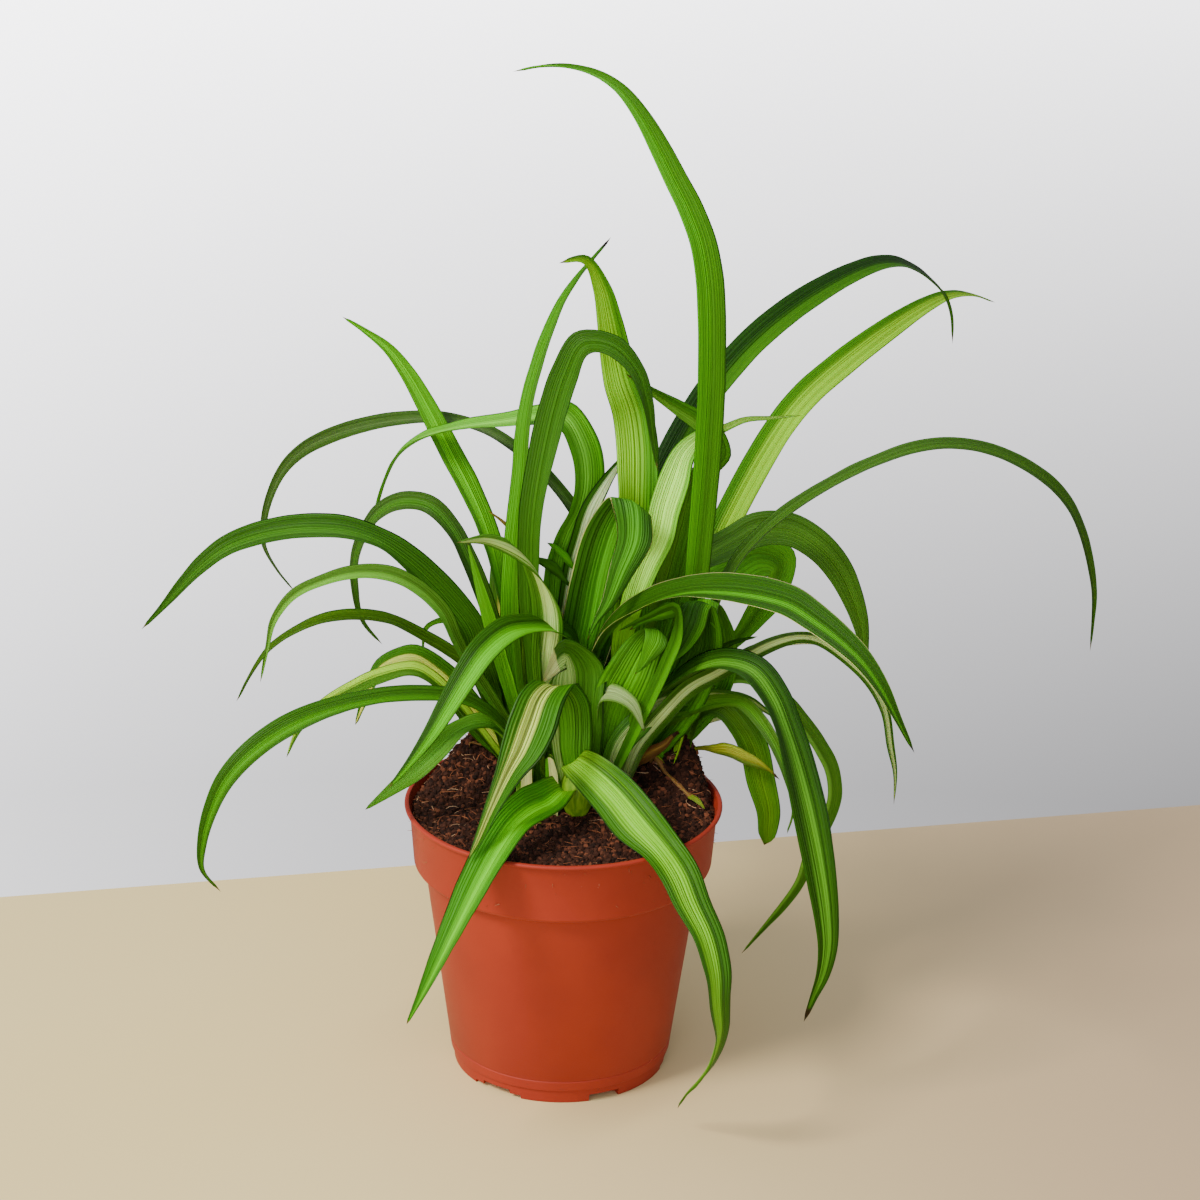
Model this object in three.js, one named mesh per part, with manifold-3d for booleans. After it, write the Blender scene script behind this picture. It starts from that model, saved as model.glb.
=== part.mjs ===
// A potted spider plant in a 4-inch moulded nursery pot: pot, soil, crowns and leaves.
// Millimetres, +Z up. The origin is the middle of the pot's flat foot.

import * as THREE from "three";
import { mergeVertices } from "three/addons/utils/BufferGeometryUtils.js";
import Module from "manifold-3d";

const wasm = await Module();
wasm.setup();

// Driving dimensions of the pot
const RIM_R = 54;
const RIM_Z = 96;
const LIP_DROP = 1.4;
const BAND_TOP_R = 52.4;
const BAND_LOW_R = 50.9;
const BAND_Z = 74;
const BODY_TOP_R = 47.2;
const BODY_LOW_R = 38.2;
const FOOT_R = 37;
const FOOT_LINE_Z = 5.6;
const WALL = 1.3;
const BEVEL = 0.6;
const FOOT_FLARE = 0.5;
const SHOULDER_IN = 1.6;
const SHOULDER_TURN = [0.4, 0.9];
const SHOULDER_H = 2.6;
const LIP_ROUND = 0.5;
const LIP_CHAMFER = 0.3;
const POT_SIDES = 48;

// Driving dimensions of the pot's inside: the wall's step behind the band and its rounded bottom
const STEP_HALF_H = 2.2;
const CORNER_H = 2;
const CORNER_IN = 1.4;

// Driving dimensions of the pot's underside
const FLOOR_Z = 2.6;
const FLOOR_T = 1.4;
const PAD_R = 13;
const UNDER_SLOPE = 1;
const FOOT_RING_W = 3.2;
const NOTCHES = 6;
const NOTCH_W = 11;
const NOTCH_STEP_W = 19;
const NOTCH_H = 2.6;
const NOTCH_STEP_H = 1.3;
const NOTCH_FIRST = THREE.MathUtils.degToRad(25 - 90);
const DRAIN_R = 3.2;
const DRAIN_RING_R = 25;
const DRAIN_SIDES = 12;

// Driving dimensions of the soil
const GAP = 0.3;
const SOIL_Z = 92.5;
const SOIL_RINGS = 9;
// each heap is its centre, its height above the level soil and its spread
const HEAPS = [
  { x: -28, y: 30, rise: 9, spread: 14 },
  { x: 38, y: 22, rise: 15, spread: 12 },
  { x: 4, y: 10, rise: 3, spread: 16 },
];

// Driving dimensions of the crowns, the short stocks that the leaves grow from
const CROWN_DEPTH = 24;
const CROWN_SIDES = 16;
const CROWN_ABOVE = 1.7;
const HOLE_ABOVE = 20;
// the shallow dish in the soil round each crown, which the lowest leaves lie in
const DISH_DEPTH = 1.7;
const DISH_RISE = 2.5;
const DISH_W = 4.5;
// the share of the crown's radius at heights above its blunt lower end
const CROWN_SHAPE = [
  [0.45, 0],
  [0.8, 6],
  [1, 15],
];
const RINGS = [2.6, 5.8, 9];
const SMALL_RINGS = [2.4, 5.2];
const CROWNS = {
  front: { x: 5, y: 0, r: 9.7, rings: RINGS },
  left: { x: -10, y: 15, r: 9.7, rings: RINGS },
  right: { x: 19, y: 24, r: 9.7, rings: RINGS },
  back: { x: 35, y: 14, r: 6.2, rings: SMALL_RINGS },
};

// Driving dimensions that all leaves share
const BLADE_T = 0.7;
const STATION_STEP = 11;
const FEWEST_STATIONS = 6;
const BASE_SHARE = 0.42;
const TIP_SHARE = 0.07;
const FULL_AT = 0.42;
const SWELL_POWER = 1.5;
const TAPER_FROM = 0.5;
const TAPER_POWER = 1.9;
const FOLD_AT = [0, 0.25, 0.6, 1];
const FOLD_DEG = [58, 32, 20, 14];

// Leaf colours: plain green, bright green, pale, striped, cream-edged, yellowing and dry
const TONES = {
  plain: 0x2f5e22,
  bright: 0x4f9428,
  pale: 0x8fb65a,
  striped: 0x5c9440,
  cream: 0xc5d3a0,
  yellowing: 0x9a9a3c,
  dry: 0x7a5a34,
};

// The leaves. Each grows from a ring of its crown, at a bearing given by foot, and leans out along
// its heading; both are degrees anticlockwise from +X. The midrib's points are its reach and height
// from the foot; sway bends it sideways. The rolls turn the blade about its midrib, foot to tip.
const LEAVES = [
  {
    name: "leaf_01_tallest",
    crown: "back", ring: 0, foot: 188, heading: 147,
    sway: -1, width: 11.5, tone: "bright",
    roll: [30, 30, 30, 30, -5],
    rib: [[0, 0], [-12, 78], [-12, 178], [0, 202], [22, 229], [45, 234], [63, 230]],
  },
  {
    name: "leaf_02_upright_pale",
    crown: "right", ring: 0, foot: 152, heading: 146,
    sway: -14, width: 14.5, tone: "pale",
    roll: [30, 30, 30, 50, 55],
    rib: [[0, 0], [-13, 100], [-7, 125], [0, 137], [8, 172], [13, 180], [16, 177]],
  },
  {
    name: "leaf_03_arched_middle",
    crown: "left", ring: 2, foot: 292, heading: 20,
    sway: 22, width: 11, tone: "plain",
    roll: [-20, -20, -25, -55, -95],
    rib: [[0, 0], [-4, 103], [12, 157], [22, 152], [26, 144], [30, 116]],
  },
  {
    name: "leaf_04_upright_thin",
    crown: "left", ring: 0, foot: 136, heading: 43,
    sway: -7, width: 8, tone: "bright",
    roll: [-50, -40, -5, 0, 5],
    rib: [[0, 0], [-9, 58], [-5, 107], [-2, 134], [14, 166], [40, 181]],
  },
  {
    name: "leaf_05_high_right",
    crown: "front", ring: 2, foot: 84, heading: 47,
    sway: 4, width: 12.5, tone: "plain",
    roll: [10, 10, -15, -25, -35],
    rib: [[0, 0], [34, 97], [76, 138], [138, 158], [163, 156], [189, 138], [193, 121]],
  },
  {
    name: "leaf_06_pale_right",
    crown: "right", ring: 1, foot: 51, heading: 58,
    sway: 26, width: 12.5, tone: "pale",
    roll: [-20, -20, -10, -40, -30],
    rib: [[0, 0], [43, 53], [95, 99], [128, 113], [192, 128], [214, 124], [223, 120]],
  },
  {
    name: "leaf_07_far_right",
    crown: "back", ring: 1, foot: 295, heading: 8,
    sway: -6, width: 8, tone: "plain",
    roll: [-15, -15, -5, -40, -85],
    rib: [[0, 0], [22, 76], [75, 110], [103, 110], [132, 92], [145, 61], [146, 35]],
  },
  {
    name: "leaf_08_broad_right",
    crown: "right", ring: 1, foot: 12, heading: 18,
    sway: 22, width: 11, tone: "plain",
    roll: [-5, -5, -20, -75, -105],
    rib: [[0, 0], [0, 60], [27, 75], [45, 84], [61, 76], [72, 55], [76, 29]],
  },
  {
    name: "leaf_09_folded_right",
    crown: "right", ring: 2, foot: 113, heading: 43,
    sway: 10, width: 12, tone: "bright",
    roll: [10, 10, -10, -100, -130],
    rib: [[0, 0], [24, 51], [48, 56], [64, 61], [72, 55], [57, 32], [46, 24]],
  },
  {
    name: "leaf_10_bright_right",
    crown: "front", ring: 2, foot: 31, heading: -47,
    sway: 3, width: 13.5, tone: "bright",
    roll: [-40, -35, -25, -45, -50],
    rib: [[0, 0], [-2, 51], [31, 80], [81, 93], [97, 91], [121, 82], [141, 61]],
  },
  {
    name: "leaf_11_cream_upright",
    crown: "left", ring: 2, foot: 61, heading: 32,
    width: 10.5, tone: "cream",
    roll: [5, 5, -20, -10, 5],
    rib: [[0, 0], [33, 57], [53, 102], [78, 113], [104, 112]],
  },
  {
    name: "leaf_12_blunt_middle",
    crown: "right", ring: 2, foot: 260, heading: 48,
    sway: 24, width: 9, tone: "plain",
    roll: [-70, -70, -70, -70, -70],
    rib: [[0, 0], [17, 95], [18, 105], [22, 118], [1, 142]],
  },
  {
    name: "leaf_13_bent_left",
    crown: "left", ring: 2, foot: 31, heading: 165,
    sway: 9, width: 12, tone: "striped",
    roll: [45, 45, 30, 0, 15],
    rib: [[0, 0], [1, 76], [-8, 104], [-1, 126], [15, 124], [57, 109], [72, 76]],
  },
  {
    name: "leaf_14_high_left",
    crown: "right", ring: 1, foot: 177, heading: 151,
    width: 7.5, tone: "plain",
    roll: [5, 5, 5, 85, 90],
    rib: [[0, 0], [7, 78], [41, 109], [73, 112], [129, 88], [142, 53], [128, 37]],
  },
  {
    name: "leaf_15_straight_left",
    crown: "left", ring: 1, foot: 119, heading: 142,
    sway: -1, width: 9.5, tone: "bright",
    roll: [-10, -10, 10, 40, 50],
    rib: [[0, 0], [18, 79], [35, 106], [61, 137], [84, 146]],
  },
  {
    name: "leaf_16_big_left",
    crown: "left", ring: 2, foot: 166, heading: 182,
    sway: 9, width: 10.5, tone: "plain",
    roll: [85, 80, 20, 45, 65],
    rib: [[0, 0], [2, 15], [12, 45], [15, 54], [49, 85], [93, 81], [126, 48]],
  },
  {
    name: "leaf_17_hooked_left",
    crown: "left", ring: 1, foot: 197, heading: 167,
    sway: 15, width: 8.5, tone: "plain",
    roll: [35, 35, 25, 50, 85],
    rib: [[0, 0], [13, 61], [31, 92], [49, 90], [63, 67], [59, 44], [52, 39]],
  },
  {
    name: "leaf_18_curled_left",
    crown: "front", ring: 2, foot: 168, heading: 189,
    width: 7, tone: "bright",
    roll: [40, 40, 40, 30, 60],
    rib: [[0, 0], [31, 52], [39, 69], [52, 80], [68, 82], [90, 72], [98, 45]],
  },
  {
    name: "leaf_19_low_curled_left",
    crown: "left", ring: 2, foot: 204, heading: 190,
    width: 6.5, tone: "plain",
    roll: [50, 50, 20, 20, 15],
    rib: [[0, 0], [14, 41], [28, 51], [40, 59], [63, 61], [82, 51], [93, 33]],
  },
  {
    name: "leaf_20_folded_middle",
    crown: "front", ring: 1, foot: 47, heading: -58,
    sway: -2, full: 0.3, taper: 0.5, width: 13.5, tone: "striped",
    roll: [-130, -130, -110, -40, -20],
    rib: [[0, 0], [-15, 50], [-1, 83], [13, 108], [21, 106], [9, 72], [-4, 54]],
  },
  {
    name: "leaf_21_cream_narrow",
    crown: "left", ring: 1, foot: 49, heading: 61,
    sway: -3, width: 5, tone: "cream",
    roll: [10, 10, 10, -25, -35],
    rib: [[0, 0], [16, 76], [38, 94], [61, 101]],
  },
  {
    name: "leaf_22_cream_small_left",
    crown: "front", ring: 1, foot: 279, heading: 209,
    width: 6.5, tone: "cream",
    roll: [80, 80, 105, 60, 30],
    rib: [[0, 0], [15, 40], [15, 83], [29, 99], [47, 100]],
  },
  {
    name: "leaf_23_short_left",
    crown: "left", ring: 1, foot: 264, heading: 202,
    width: 6, tone: "plain",
    roll: [75, 75, 75, 100, 105],
    rib: [[0, 0], [24, 89]],
  },
  {
    name: "leaf_24_bright_front_left",
    crown: "front", ring: 2, foot: 185, heading: 225,
    full: 0.36, taper: 0.5, width: 11.5, tone: "bright",
    roll: [45, 40, 20, 40, 45],
    rib: [[0, 0], [-10, 52], [13, 65], [29, 63], [59, 35], [73, 25]],
  },
  {
    name: "leaf_25_dull_front_left",
    crown: "left", ring: 2, foot: 261, heading: 212,
    sway: -1, width: 9.5, tone: "plain",
    roll: [35, 35, 10, 50, 55],
    rib: [[0, 0], [12, 21], [22, 27], [46, 14], [64, 5]],
  },
  {
    name: "leaf_26_kinked_cream",
    crown: "left", ring: 2, foot: 135, heading: 189,
    full: 0.3, taper: 0.5, width: 11.5, tone: "cream",
    roll: [80, 80, 55, 20, 35],
    rib: [[0, 0], [35, 41], [45, 40], [56, 18]],
  },
  {
    name: "leaf_27_long_low_left",
    crown: "front", ring: 2, foot: 207, heading: 200,
    sway: 2, width: 9.5, tone: "bright",
    roll: [20, 20, 15, 55, 50],
    rib: [[0, 0], [30, 39], [79, 42], [107, 28], [117, 13], [121, -9], [115, -18]],
  },
  {
    name: "leaf_28_pale_low_left",
    crown: "left", ring: 2, foot: 233, heading: 190,
    sway: 1, width: 6.5, tone: "striped",
    roll: [35, 35, 35, 60, 75],
    rib: [[0, 0], [31, 40], [39, 43], [71, 28], [79, 13]],
  },
  {
    name: "leaf_29_striped_front",
    crown: "front", ring: 2, foot: 277, heading: 229,
    sway: -2, full: 0.3, taper: 0.5, width: 16, tone: "striped",
    roll: [90, 85, 20, -5, -20],
    rib: [[0, 0], [4, 17], [2, 36], [18, 48], [28, 39], [48, 19], [58, 1]],
  },
  {
    name: "leaf_30_short_striped",
    crown: "front", ring: 0, foot: 259, heading: 209,
    sway: 1, full: 0.3, taper: 0.6, width: 13.5, tone: "striped",
    roll: [120, 120, 120, 100, 100],
    rib: [[0, 0], [1, 40], [2, 55], [5, 55], [13, 45]],
  },
  {
    name: "leaf_31_cream_small_front",
    crown: "front", ring: 0, foot: 349, heading: -34,
    width: 4.5, tone: "cream",
    roll: [-75, -75, -70, -35, -50],
    rib: [[0, 0], [5, 39], [19, 38], [23, 30]],
  },
  {
    name: "leaf_32_over_rim_left",
    crown: "front", ring: 2, foot: 248, heading: 240,
    full: 0.25, taper: 0.35, width: 14.5, tone: "bright",
    roll: [5, 35, 5, -5, 0],
    rib: [[0, 0], [-1, 6], [13, 7], [36, 7], [98, -38]],
  },
  {
    name: "leaf_33_over_rim_right",
    crown: "front", ring: 2, foot: 326, heading: -64,
    sway: -5, full: 0.34, taper: 0.42, width: 16, tone: "striped",
    roll: [-40, -30, 15, 40, 25],
    rib: [[0, 0], [-4, 7], [29, 3], [54, -5], [75, -28], [79, -55], [57, -88]],
  },
  {
    name: "leaf_34_hanging_right",
    crown: "right", ring: 2, foot: 229, heading: -39,
    sway: -1, width: 14, tone: "striped",
    roll: [-55, -25, -5, -50, -55],
    rib: [[0, 0], [5, 14], [16, 26], [47, 51], [65, 50], [96, -34], [88, -67]],
  },
  {
    name: "leaf_35_plain_back_right",
    crown: "back", ring: 1, foot: 350, heading: 8,
    sway: 12, width: 10, tone: "bright",
    roll: [-20, -20, -55, -95, -100],
    rib: [[0, 0], [6, 23], [17, 18], [28, -12], [28, -26]],
  },
  {
    name: "leaf_36_curling_back_right",
    crown: "right", ring: 2, foot: 63, heading: 13,
    sway: -5, width: 7.5, tone: "plain",
    roll: [-30, -35, -55, -80, -120],
    rib: [[0, 0], [39, 25], [72, -9], [76, -26], [66, -50], [64, -58], [43, -83]],
  },
  {
    name: "leaf_37_light_right",
    crown: "back", ring: 1, foot: 265, heading: -11,
    sway: 29, width: 6.5, tone: "plain",
    roll: [-95, -45, -25, -30, -20],
    rib: [[0, 0], [-6, 10], [22, 29], [30, 28], [42, 17], [48, 2], [46, -8]],
  },
  {
    name: "leaf_38_cream_arch_right",
    crown: "right", ring: 2, foot: 335, heading: 5,
    sway: 6, width: 7.5, tone: "cream",
    roll: [-100, -70, -5, -10, -40],
    rib: [[0, 0], [-10, 5], [-6, 12], [7, 23], [34, 27], [45, 20]],
  },
  {
    name: "leaf_39_cream_thin_right",
    crown: "right", ring: 2, foot: 97, heading: 32,
    sway: 19, width: 5, tone: "cream",
    roll: [-50, -20, 5, -40, -70],
    rib: [[0, 0], [-1, -1], [9, 7], [38, 24], [54, 32], [70, 33], [80, 30]],
  },
  {
    name: "leaf_40_drooping_cream",
    crown: "right", ring: 2, foot: 31, heading: -12,
    sway: 21, width: 5.5, tone: "cream",
    roll: [-20, -20, -10, -45, -80],
    rib: [[0, 0], [12, 43], [19, 46], [51, 56], [76, 46], [87, 30], [91, 1]],
  },
  {
    name: "leaf_41_dark_thin",
    crown: "back", ring: 0, foot: 139, heading: -11,
    sway: 2, width: 4.5, tone: "plain",
    roll: [-50, -50, -50, -40, -35],
    rib: [[0, 0], [13, 35], [24, 46], [32, 49]],
  },
  {
    name: "leaf_42_narrow_cream",
    crown: "right", ring: 2, foot: 83, heading: 24,
    sway: -5, width: 4, tone: "cream",
    roll: [-55, -30, -15, -30, -15],
    rib: [[0, 0], [3, 1], [24, 5], [49, 6]],
  },
  {
    name: "leaf_43_small_back_left",
    crown: "left", ring: 2, foot: 113, heading: 175,
    width: 4, tone: "plain",
    roll: [25, 25, 25, 55, 85],
    rib: [[0, 0], [27, 53], [36, 47], [36, 38]],
  },
  {
    name: "leaf_44_olive_tip",
    crown: "left", ring: 1, foot: 156, heading: 171,
    width: 4.5, tone: "yellowing",
    roll: [75, 75, 75, 75, 75],
    rib: [[0, 0], [2, 82], [8, 93], [12, 94]],
  },
  {
    name: "leaf_45_rounded_middle",
    crown: "right", ring: 1, foot: 89, heading: 47,
    width: 7, tone: "plain",
    roll: [-40, -40, -40, -40, -40],
    rib: [[0, 0], [11, 55], [20, 70]],
  },
  {
    name: "leaf_46_pointing_left",
    crown: "front", ring: 2, foot: 340, heading: -15,
    sway: 1, width: 5, tone: "plain",
    roll: [-80, -80, -80, -80, -100],
    rib: [[0, 0], [25, 73], [4, 62]],
  },
  {
    name: "leaf_47_back_low_right",
    crown: "back", ring: 1, foot: 210, heading: 83,
    sway: -4, width: 9, tone: "plain",
    roll: [0, 0, 0, 0, 0],
    rib: [[0, 0], [6, 22], [24, 48], [52, 52], [78, 30], [92, 0], [96, -32]],
  },
  {
    name: "leaf_48_back_right",
    crown: "right", ring: 1, foot: 132, heading: 80,
    sway: 7, width: 10, tone: "bright",
    roll: [0, 0, 0, 0, 0],
    rib: [[0, 0], [8, 30], [30, 58], [62, 62], [92, 38], [108, 2]],
  },
  {
    name: "leaf_49_back_left",
    crown: "left", ring: 2, foot: 98, heading: 99,
    width: 10, tone: "striped",
    roll: [0, 0, 0, 0, 0],
    rib: [[0, 0], [7, 28], [28, 56], [60, 60], [92, 36], [108, -4], [112, -36]],
  },
  {
    name: "leaf_50_back_small",
    crown: "left", ring: 1, foot: 79, heading: 81,
    sway: -1, width: 8, tone: "plain",
    roll: [0, 0, 0, 0, 0],
    rib: [[0, 0], [6, 26], [22, 48], [48, 50], [74, 28], [88, 2]],
  },
  {
    name: "young_leaves_front",
    crown: "left", ring: 0, foot: 92, heading: 126,
    sway: 1, width: 4, tone: "bright",
    roll: [5, 0, 0, 15, 35],
    rib: [[0, 0], [-26, 64], [-12, 82], [-6, 86]],
  },
  {
    name: "young_leaves_front",
    crown: "left", ring: 0, foot: 92, heading: 139,
    sway: -4, width: 4, tone: "plain",
    roll: [15, 15, 15, 30, 50],
    rib: [[0, 0], [-25, 63], [-14, 70], [1, 78]],
  },
  {
    name: "crumpled_leaves_front",
    crown: "front", ring: 2, foot: 12, heading: 20,
    sway: 1, width: 11, tone: "yellowing",
    roll: [-20, -20, -20, -50, -65],
    rib: [[0, 0], [0, 37], [10, 58], [10, 43]],
  },
  {
    name: "crumpled_leaves_front",
    crown: "front", ring: 2, foot: 12, heading: 10,
    sway: 4, width: 8, tone: "cream",
    roll: [-35, -35, -35, -60, -70],
    rib: [[0, 0], [11, 37], [20, 60]],
  },
  {
    name: "crumpled_leaves_right",
    crown: "right", ring: 2, foot: 288, heading: -177,
    sway: 21, full: 0.25, taper: 0.6, width: 15, tone: "yellowing",
    roll: [35, 35, 35, 60, 80],
    rib: [[0, 0], [-34, 41], [-31, 52], [-24, 56], [-10, 34]],
  },
  {
    name: "crumpled_leaves_right",
    crown: "right", ring: 2, foot: 288, heading: -23,
    sway: 12, width: 6, tone: "plain",
    roll: [-55, -55, -55, -70, -75],
    rib: [[0, 0], [23, 54], [29, 66], [34, 66], [37, 60]],
  },
  {
    name: "old_leaves_back",
    crown: "back", ring: 1, foot: 64, heading: 32,
    width: 8, tone: "dry",
    roll: [-55, -15, -25, -40, 25],
    rib: [[0, 0], [-1, 5], [21, 11]],
  },
  {
    name: "old_leaves_back",
    crown: "back", ring: 1, foot: 64, heading: -15,
    sway: -1, width: 5.5, tone: "yellowing",
    roll: [-5, 0, -20, -50, -55],
    rib: [[0, 0], [8, 4], [15, 4], [29, 2], [38, -5]],
  },
];

const finish = (color, roughness) =>
  new THREE.MeshStandardMaterial({ color, roughness, metalness: 0 });

// Gives each point of a closed surface once, which joining and cutting needs.
function merged(geometry) {
  const bare = new THREE.BufferGeometry();
  bare.setAttribute("position", geometry.getAttribute("position").clone());
  bare.setIndex(geometry.index ? geometry.index.clone() : null);
  return mergeVertices(bare, 1e-4);
}

function solid(geometry) {
  const closed = merged(geometry);
  return new wasm.Manifold(
    new wasm.Mesh({
      numProp: 3,
      vertProperties: closed.attributes.position.array,
      triVerts: new Uint32Array(closed.index.array),
    }),
  );
}

function geometryOf(body) {
  const mesh = body.getMesh();
  const geometry = new THREE.BufferGeometry();
  geometry.setAttribute("position", new THREE.BufferAttribute(mesh.vertProperties, 3));
  geometry.setIndex(new THREE.BufferAttribute(mesh.triVerts, 1));
  return geometry;
}

// A ring profile of [radius, height] points, turned about the upright axis.
function turned(profile, sides) {
  const points = profile.map(([r, z]) => new THREE.Vector2(r, z));
  return new THREE.LatheGeometry(points, sides).rotateX(Math.PI / 2);
}

// The value at t of a line through values that stand at the given places.
function along(t, places, values) {
  const last = places.length - 1;
  const k = Math.min(last - 1, Math.max(0, places.findIndex((p) => p > t) - 1));
  const from = t >= 1 ? last - 1 : k;
  const share = (t - places[from]) / (places[from + 1] - places[from]);
  return THREE.MathUtils.lerp(values[from], values[from + 1], share);
}

// The inner wall's radius at a height, between the floor and the rim.
function innerRadius(z) {
  if (z >= BAND_Z) return THREE.MathUtils.mapLinear(z, BAND_Z, RIM_Z, BAND_LOW_R, BAND_TOP_R) - WALL;
  return THREE.MathUtils.mapLinear(z, FOOT_LINE_Z, BAND_Z, BODY_LOW_R, BODY_TOP_R) - WALL;
}

// The pot: foot ring, tapered body, rounded shoulder, deep band and rolled lip.
function potGeometry() {
  const inFloor = FLOOR_Z + FLOOR_T;
  const ringIn = FOOT_R - FOOT_RING_W;
  const profile = [
    [0, 0],
    [PAD_R, 0],
    [PAD_R + UNDER_SLOPE, FLOOR_Z],
    [ringIn - UNDER_SLOPE, FLOOR_Z],
    [ringIn, 0],
    [FOOT_R, 0],
    [FOOT_R + FOOT_FLARE, FOOT_LINE_Z - BEVEL],
    [BODY_LOW_R, FOOT_LINE_Z],
    [BODY_TOP_R, BAND_Z - BEVEL],
    [BAND_LOW_R - SHOULDER_IN, BAND_Z],
    [BAND_LOW_R - SHOULDER_TURN[0], BAND_Z + SHOULDER_TURN[1]],
    [BAND_LOW_R, BAND_Z + SHOULDER_H],
    [BAND_TOP_R, RIM_Z - LIP_DROP - LIP_CHAMFER],
    [RIM_R - LIP_CHAMFER, RIM_Z - LIP_DROP],
    [RIM_R, RIM_Z - LIP_DROP / 2],
    [RIM_R - LIP_ROUND, RIM_Z],
    [BAND_TOP_R - WALL, RIM_Z],
    [BAND_LOW_R - WALL, BAND_Z + STEP_HALF_H],
    [BODY_TOP_R - WALL, BAND_Z - STEP_HALF_H],
    [BODY_LOW_R - WALL, inFloor + CORNER_H],
    [BODY_LOW_R - WALL - CORNER_IN, inFloor],
    [0, inFloor],
  ];
  let pot = solid(turned(profile, POT_SIDES));
  for (let i = 0; i < NOTCHES; i++) {
    const angle = NOTCH_FIRST + (i * 2 * Math.PI) / NOTCHES;
    // every second notch is wider at its mouth, with a step on each side
    const cuts = [[NOTCH_W, NOTCH_H]];
    if (i % 2 === 1) cuts.push([NOTCH_STEP_W, NOTCH_STEP_H]);
    for (const [width, height] of cuts) {
      const box = new THREE.BoxGeometry(2 * FOOT_RING_W, width, 2 * height);
      box.translate(FOOT_R, 0, 0).rotateZ(angle);
      pot = pot.subtract(solid(box));
    }
    const drain = new THREE.CylinderGeometry(DRAIN_R, DRAIN_R, 3 * FLOOR_T, DRAIN_SIDES);
    drain.rotateX(Math.PI / 2).translate(DRAIN_RING_R, 0, FLOOR_Z + FLOOR_T / 2).rotateZ(angle);
    pot = pot.subtract(solid(drain));
  }
  return geometryOf(pot);
}

// The soil's height at a place: level, with heaps that flatten out at the wall.
function soilHeight(x, y) {
  const edge = Math.min(1, Math.hypot(x, y) / (BAND_TOP_R - WALL));
  let rise = 0;
  for (const heap of HEAPS) {
    const away = (x - heap.x) ** 2 + (y - heap.y) ** 2;
    rise += heap.rise * Math.exp(-away / (2 * heap.spread ** 2));
  }
  return SOIL_Z + rise * (1 - edge ** 6);
}

// The soil fills the pot from its floor, clear of the wall, and has a plain hole for each crown.
function soilGeometry() {
  const floor = FLOOR_Z + FLOOR_T + GAP;
  const profile = [
    [0, floor],
    [innerRadius(floor + CORNER_H) - CORNER_IN - GAP, floor],
    [innerRadius(floor + CORNER_H) - GAP, floor + CORNER_H],
    [innerRadius(BAND_Z - STEP_HALF_H) - GAP, BAND_Z - STEP_HALF_H],
    [innerRadius(BAND_Z + STEP_HALF_H) - 2 * GAP, BAND_Z + STEP_HALF_H + GAP],
  ];
  const top = innerRadius(SOIL_Z) - 2 * GAP;
  const lowPoints = profile.length;
  for (let k = SOIL_RINGS; k >= 0; k--) profile.push([(top * k) / SOIL_RINGS, SOIL_Z]);
  const geometry = turned(profile, POT_SIDES);
  const position = geometry.getAttribute("position");
  for (let i = 0; i < position.count; i++) {
    if (i % profile.length < lowPoints) continue;
    position.setZ(i, soilHeight(position.getX(i), position.getY(i)));
  }
  let soil = solid(geometry);
  for (const crown of Object.values(CROWNS)) {
    soil = soil.subtract(solid(holeGeometry(crown)));
  }
  return geometryOf(soil);
}

const crownTop = (crown) => soilHeight(crown.x, crown.y) + CROWN_ABOVE;

// The outline of a crown's buried part, from its blunt lower end up.
const buried = (r, low) => CROWN_SHAPE.map(([share, height]) => [r * share, low + height]);

// A crown: a stout stock with a flat top just above the soil.
function crownGeometry(crown) {
  const z = crownTop(crown);
  const low = z - CROWN_DEPTH;
  const profile = [[0, low], ...buried(crown.r, low), [crown.r, z], [0, z]];
  return turned(profile, CROWN_SIDES).translate(crown.x, crown.y, 0);
}

// The hole for a crown, opening into its dish.
function holeGeometry(crown) {
  const z = crownTop(crown);
  const low = z - CROWN_DEPTH - GAP;
  const r = crown.r + GAP;
  const profile = [
    [0, low],
    ...buried(r, low),
    [r, z - DISH_DEPTH],
    [r + DISH_W, z + DISH_RISE],
    [r + DISH_W, z + HOLE_ABOVE],
    [0, z + HOLE_ABOVE],
  ];
  return turned(profile, CROWN_SIDES).translate(crown.x, crown.y, 0);
}

// The share of a leaf's full width at t, from 0 at its foot to 1 at its tip.
function widthShare(leaf, t) {
  const full = leaf.full || FULL_AT;
  const taper = leaf.taper || TAPER_FROM;
  const swell = Math.sin((Math.min(t / full, 1) * Math.PI) / 2) ** SWELL_POWER;
  const rise = THREE.MathUtils.lerp(BASE_SHARE, 1, swell);
  const fall = t < taper ? 1 : 1 - ((t - taper) / (1 - taper)) ** TAPER_POWER;
  return Math.max(rise * fall, TIP_SHARE);
}

// A leaf's midrib: it stands in an upright plane at the leaf's heading and sways out of it sideways.
function midrib(leaf) {
  const crown = CROWNS[leaf.crown];
  const at = THREE.MathUtils.degToRad(leaf.foot);
  const out = THREE.MathUtils.degToRad(leaf.heading);
  const foot = new THREE.Vector3(
    crown.x + crown.rings[leaf.ring] * Math.cos(at),
    crown.y + crown.rings[leaf.ring] * Math.sin(at),
    crownTop(crown) + GAP,
  );
  const furthest = Math.max(...leaf.rib.map(([reach]) => Math.abs(reach)), 1);
  const points = leaf.rib.map(([reach, height]) => {
    const side = (leaf.sway || 0) * (reach / furthest) ** 2;
    return new THREE.Vector3(
      foot.x + reach * Math.cos(out) + side * Math.sin(out),
      foot.y + reach * Math.sin(out) - side * Math.cos(out),
      foot.z + height,
    );
  });
  const curve = new THREE.CatmullRomCurve3(points);
  curve.arcLengthDivisions = 400;
  return curve;
}

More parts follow.
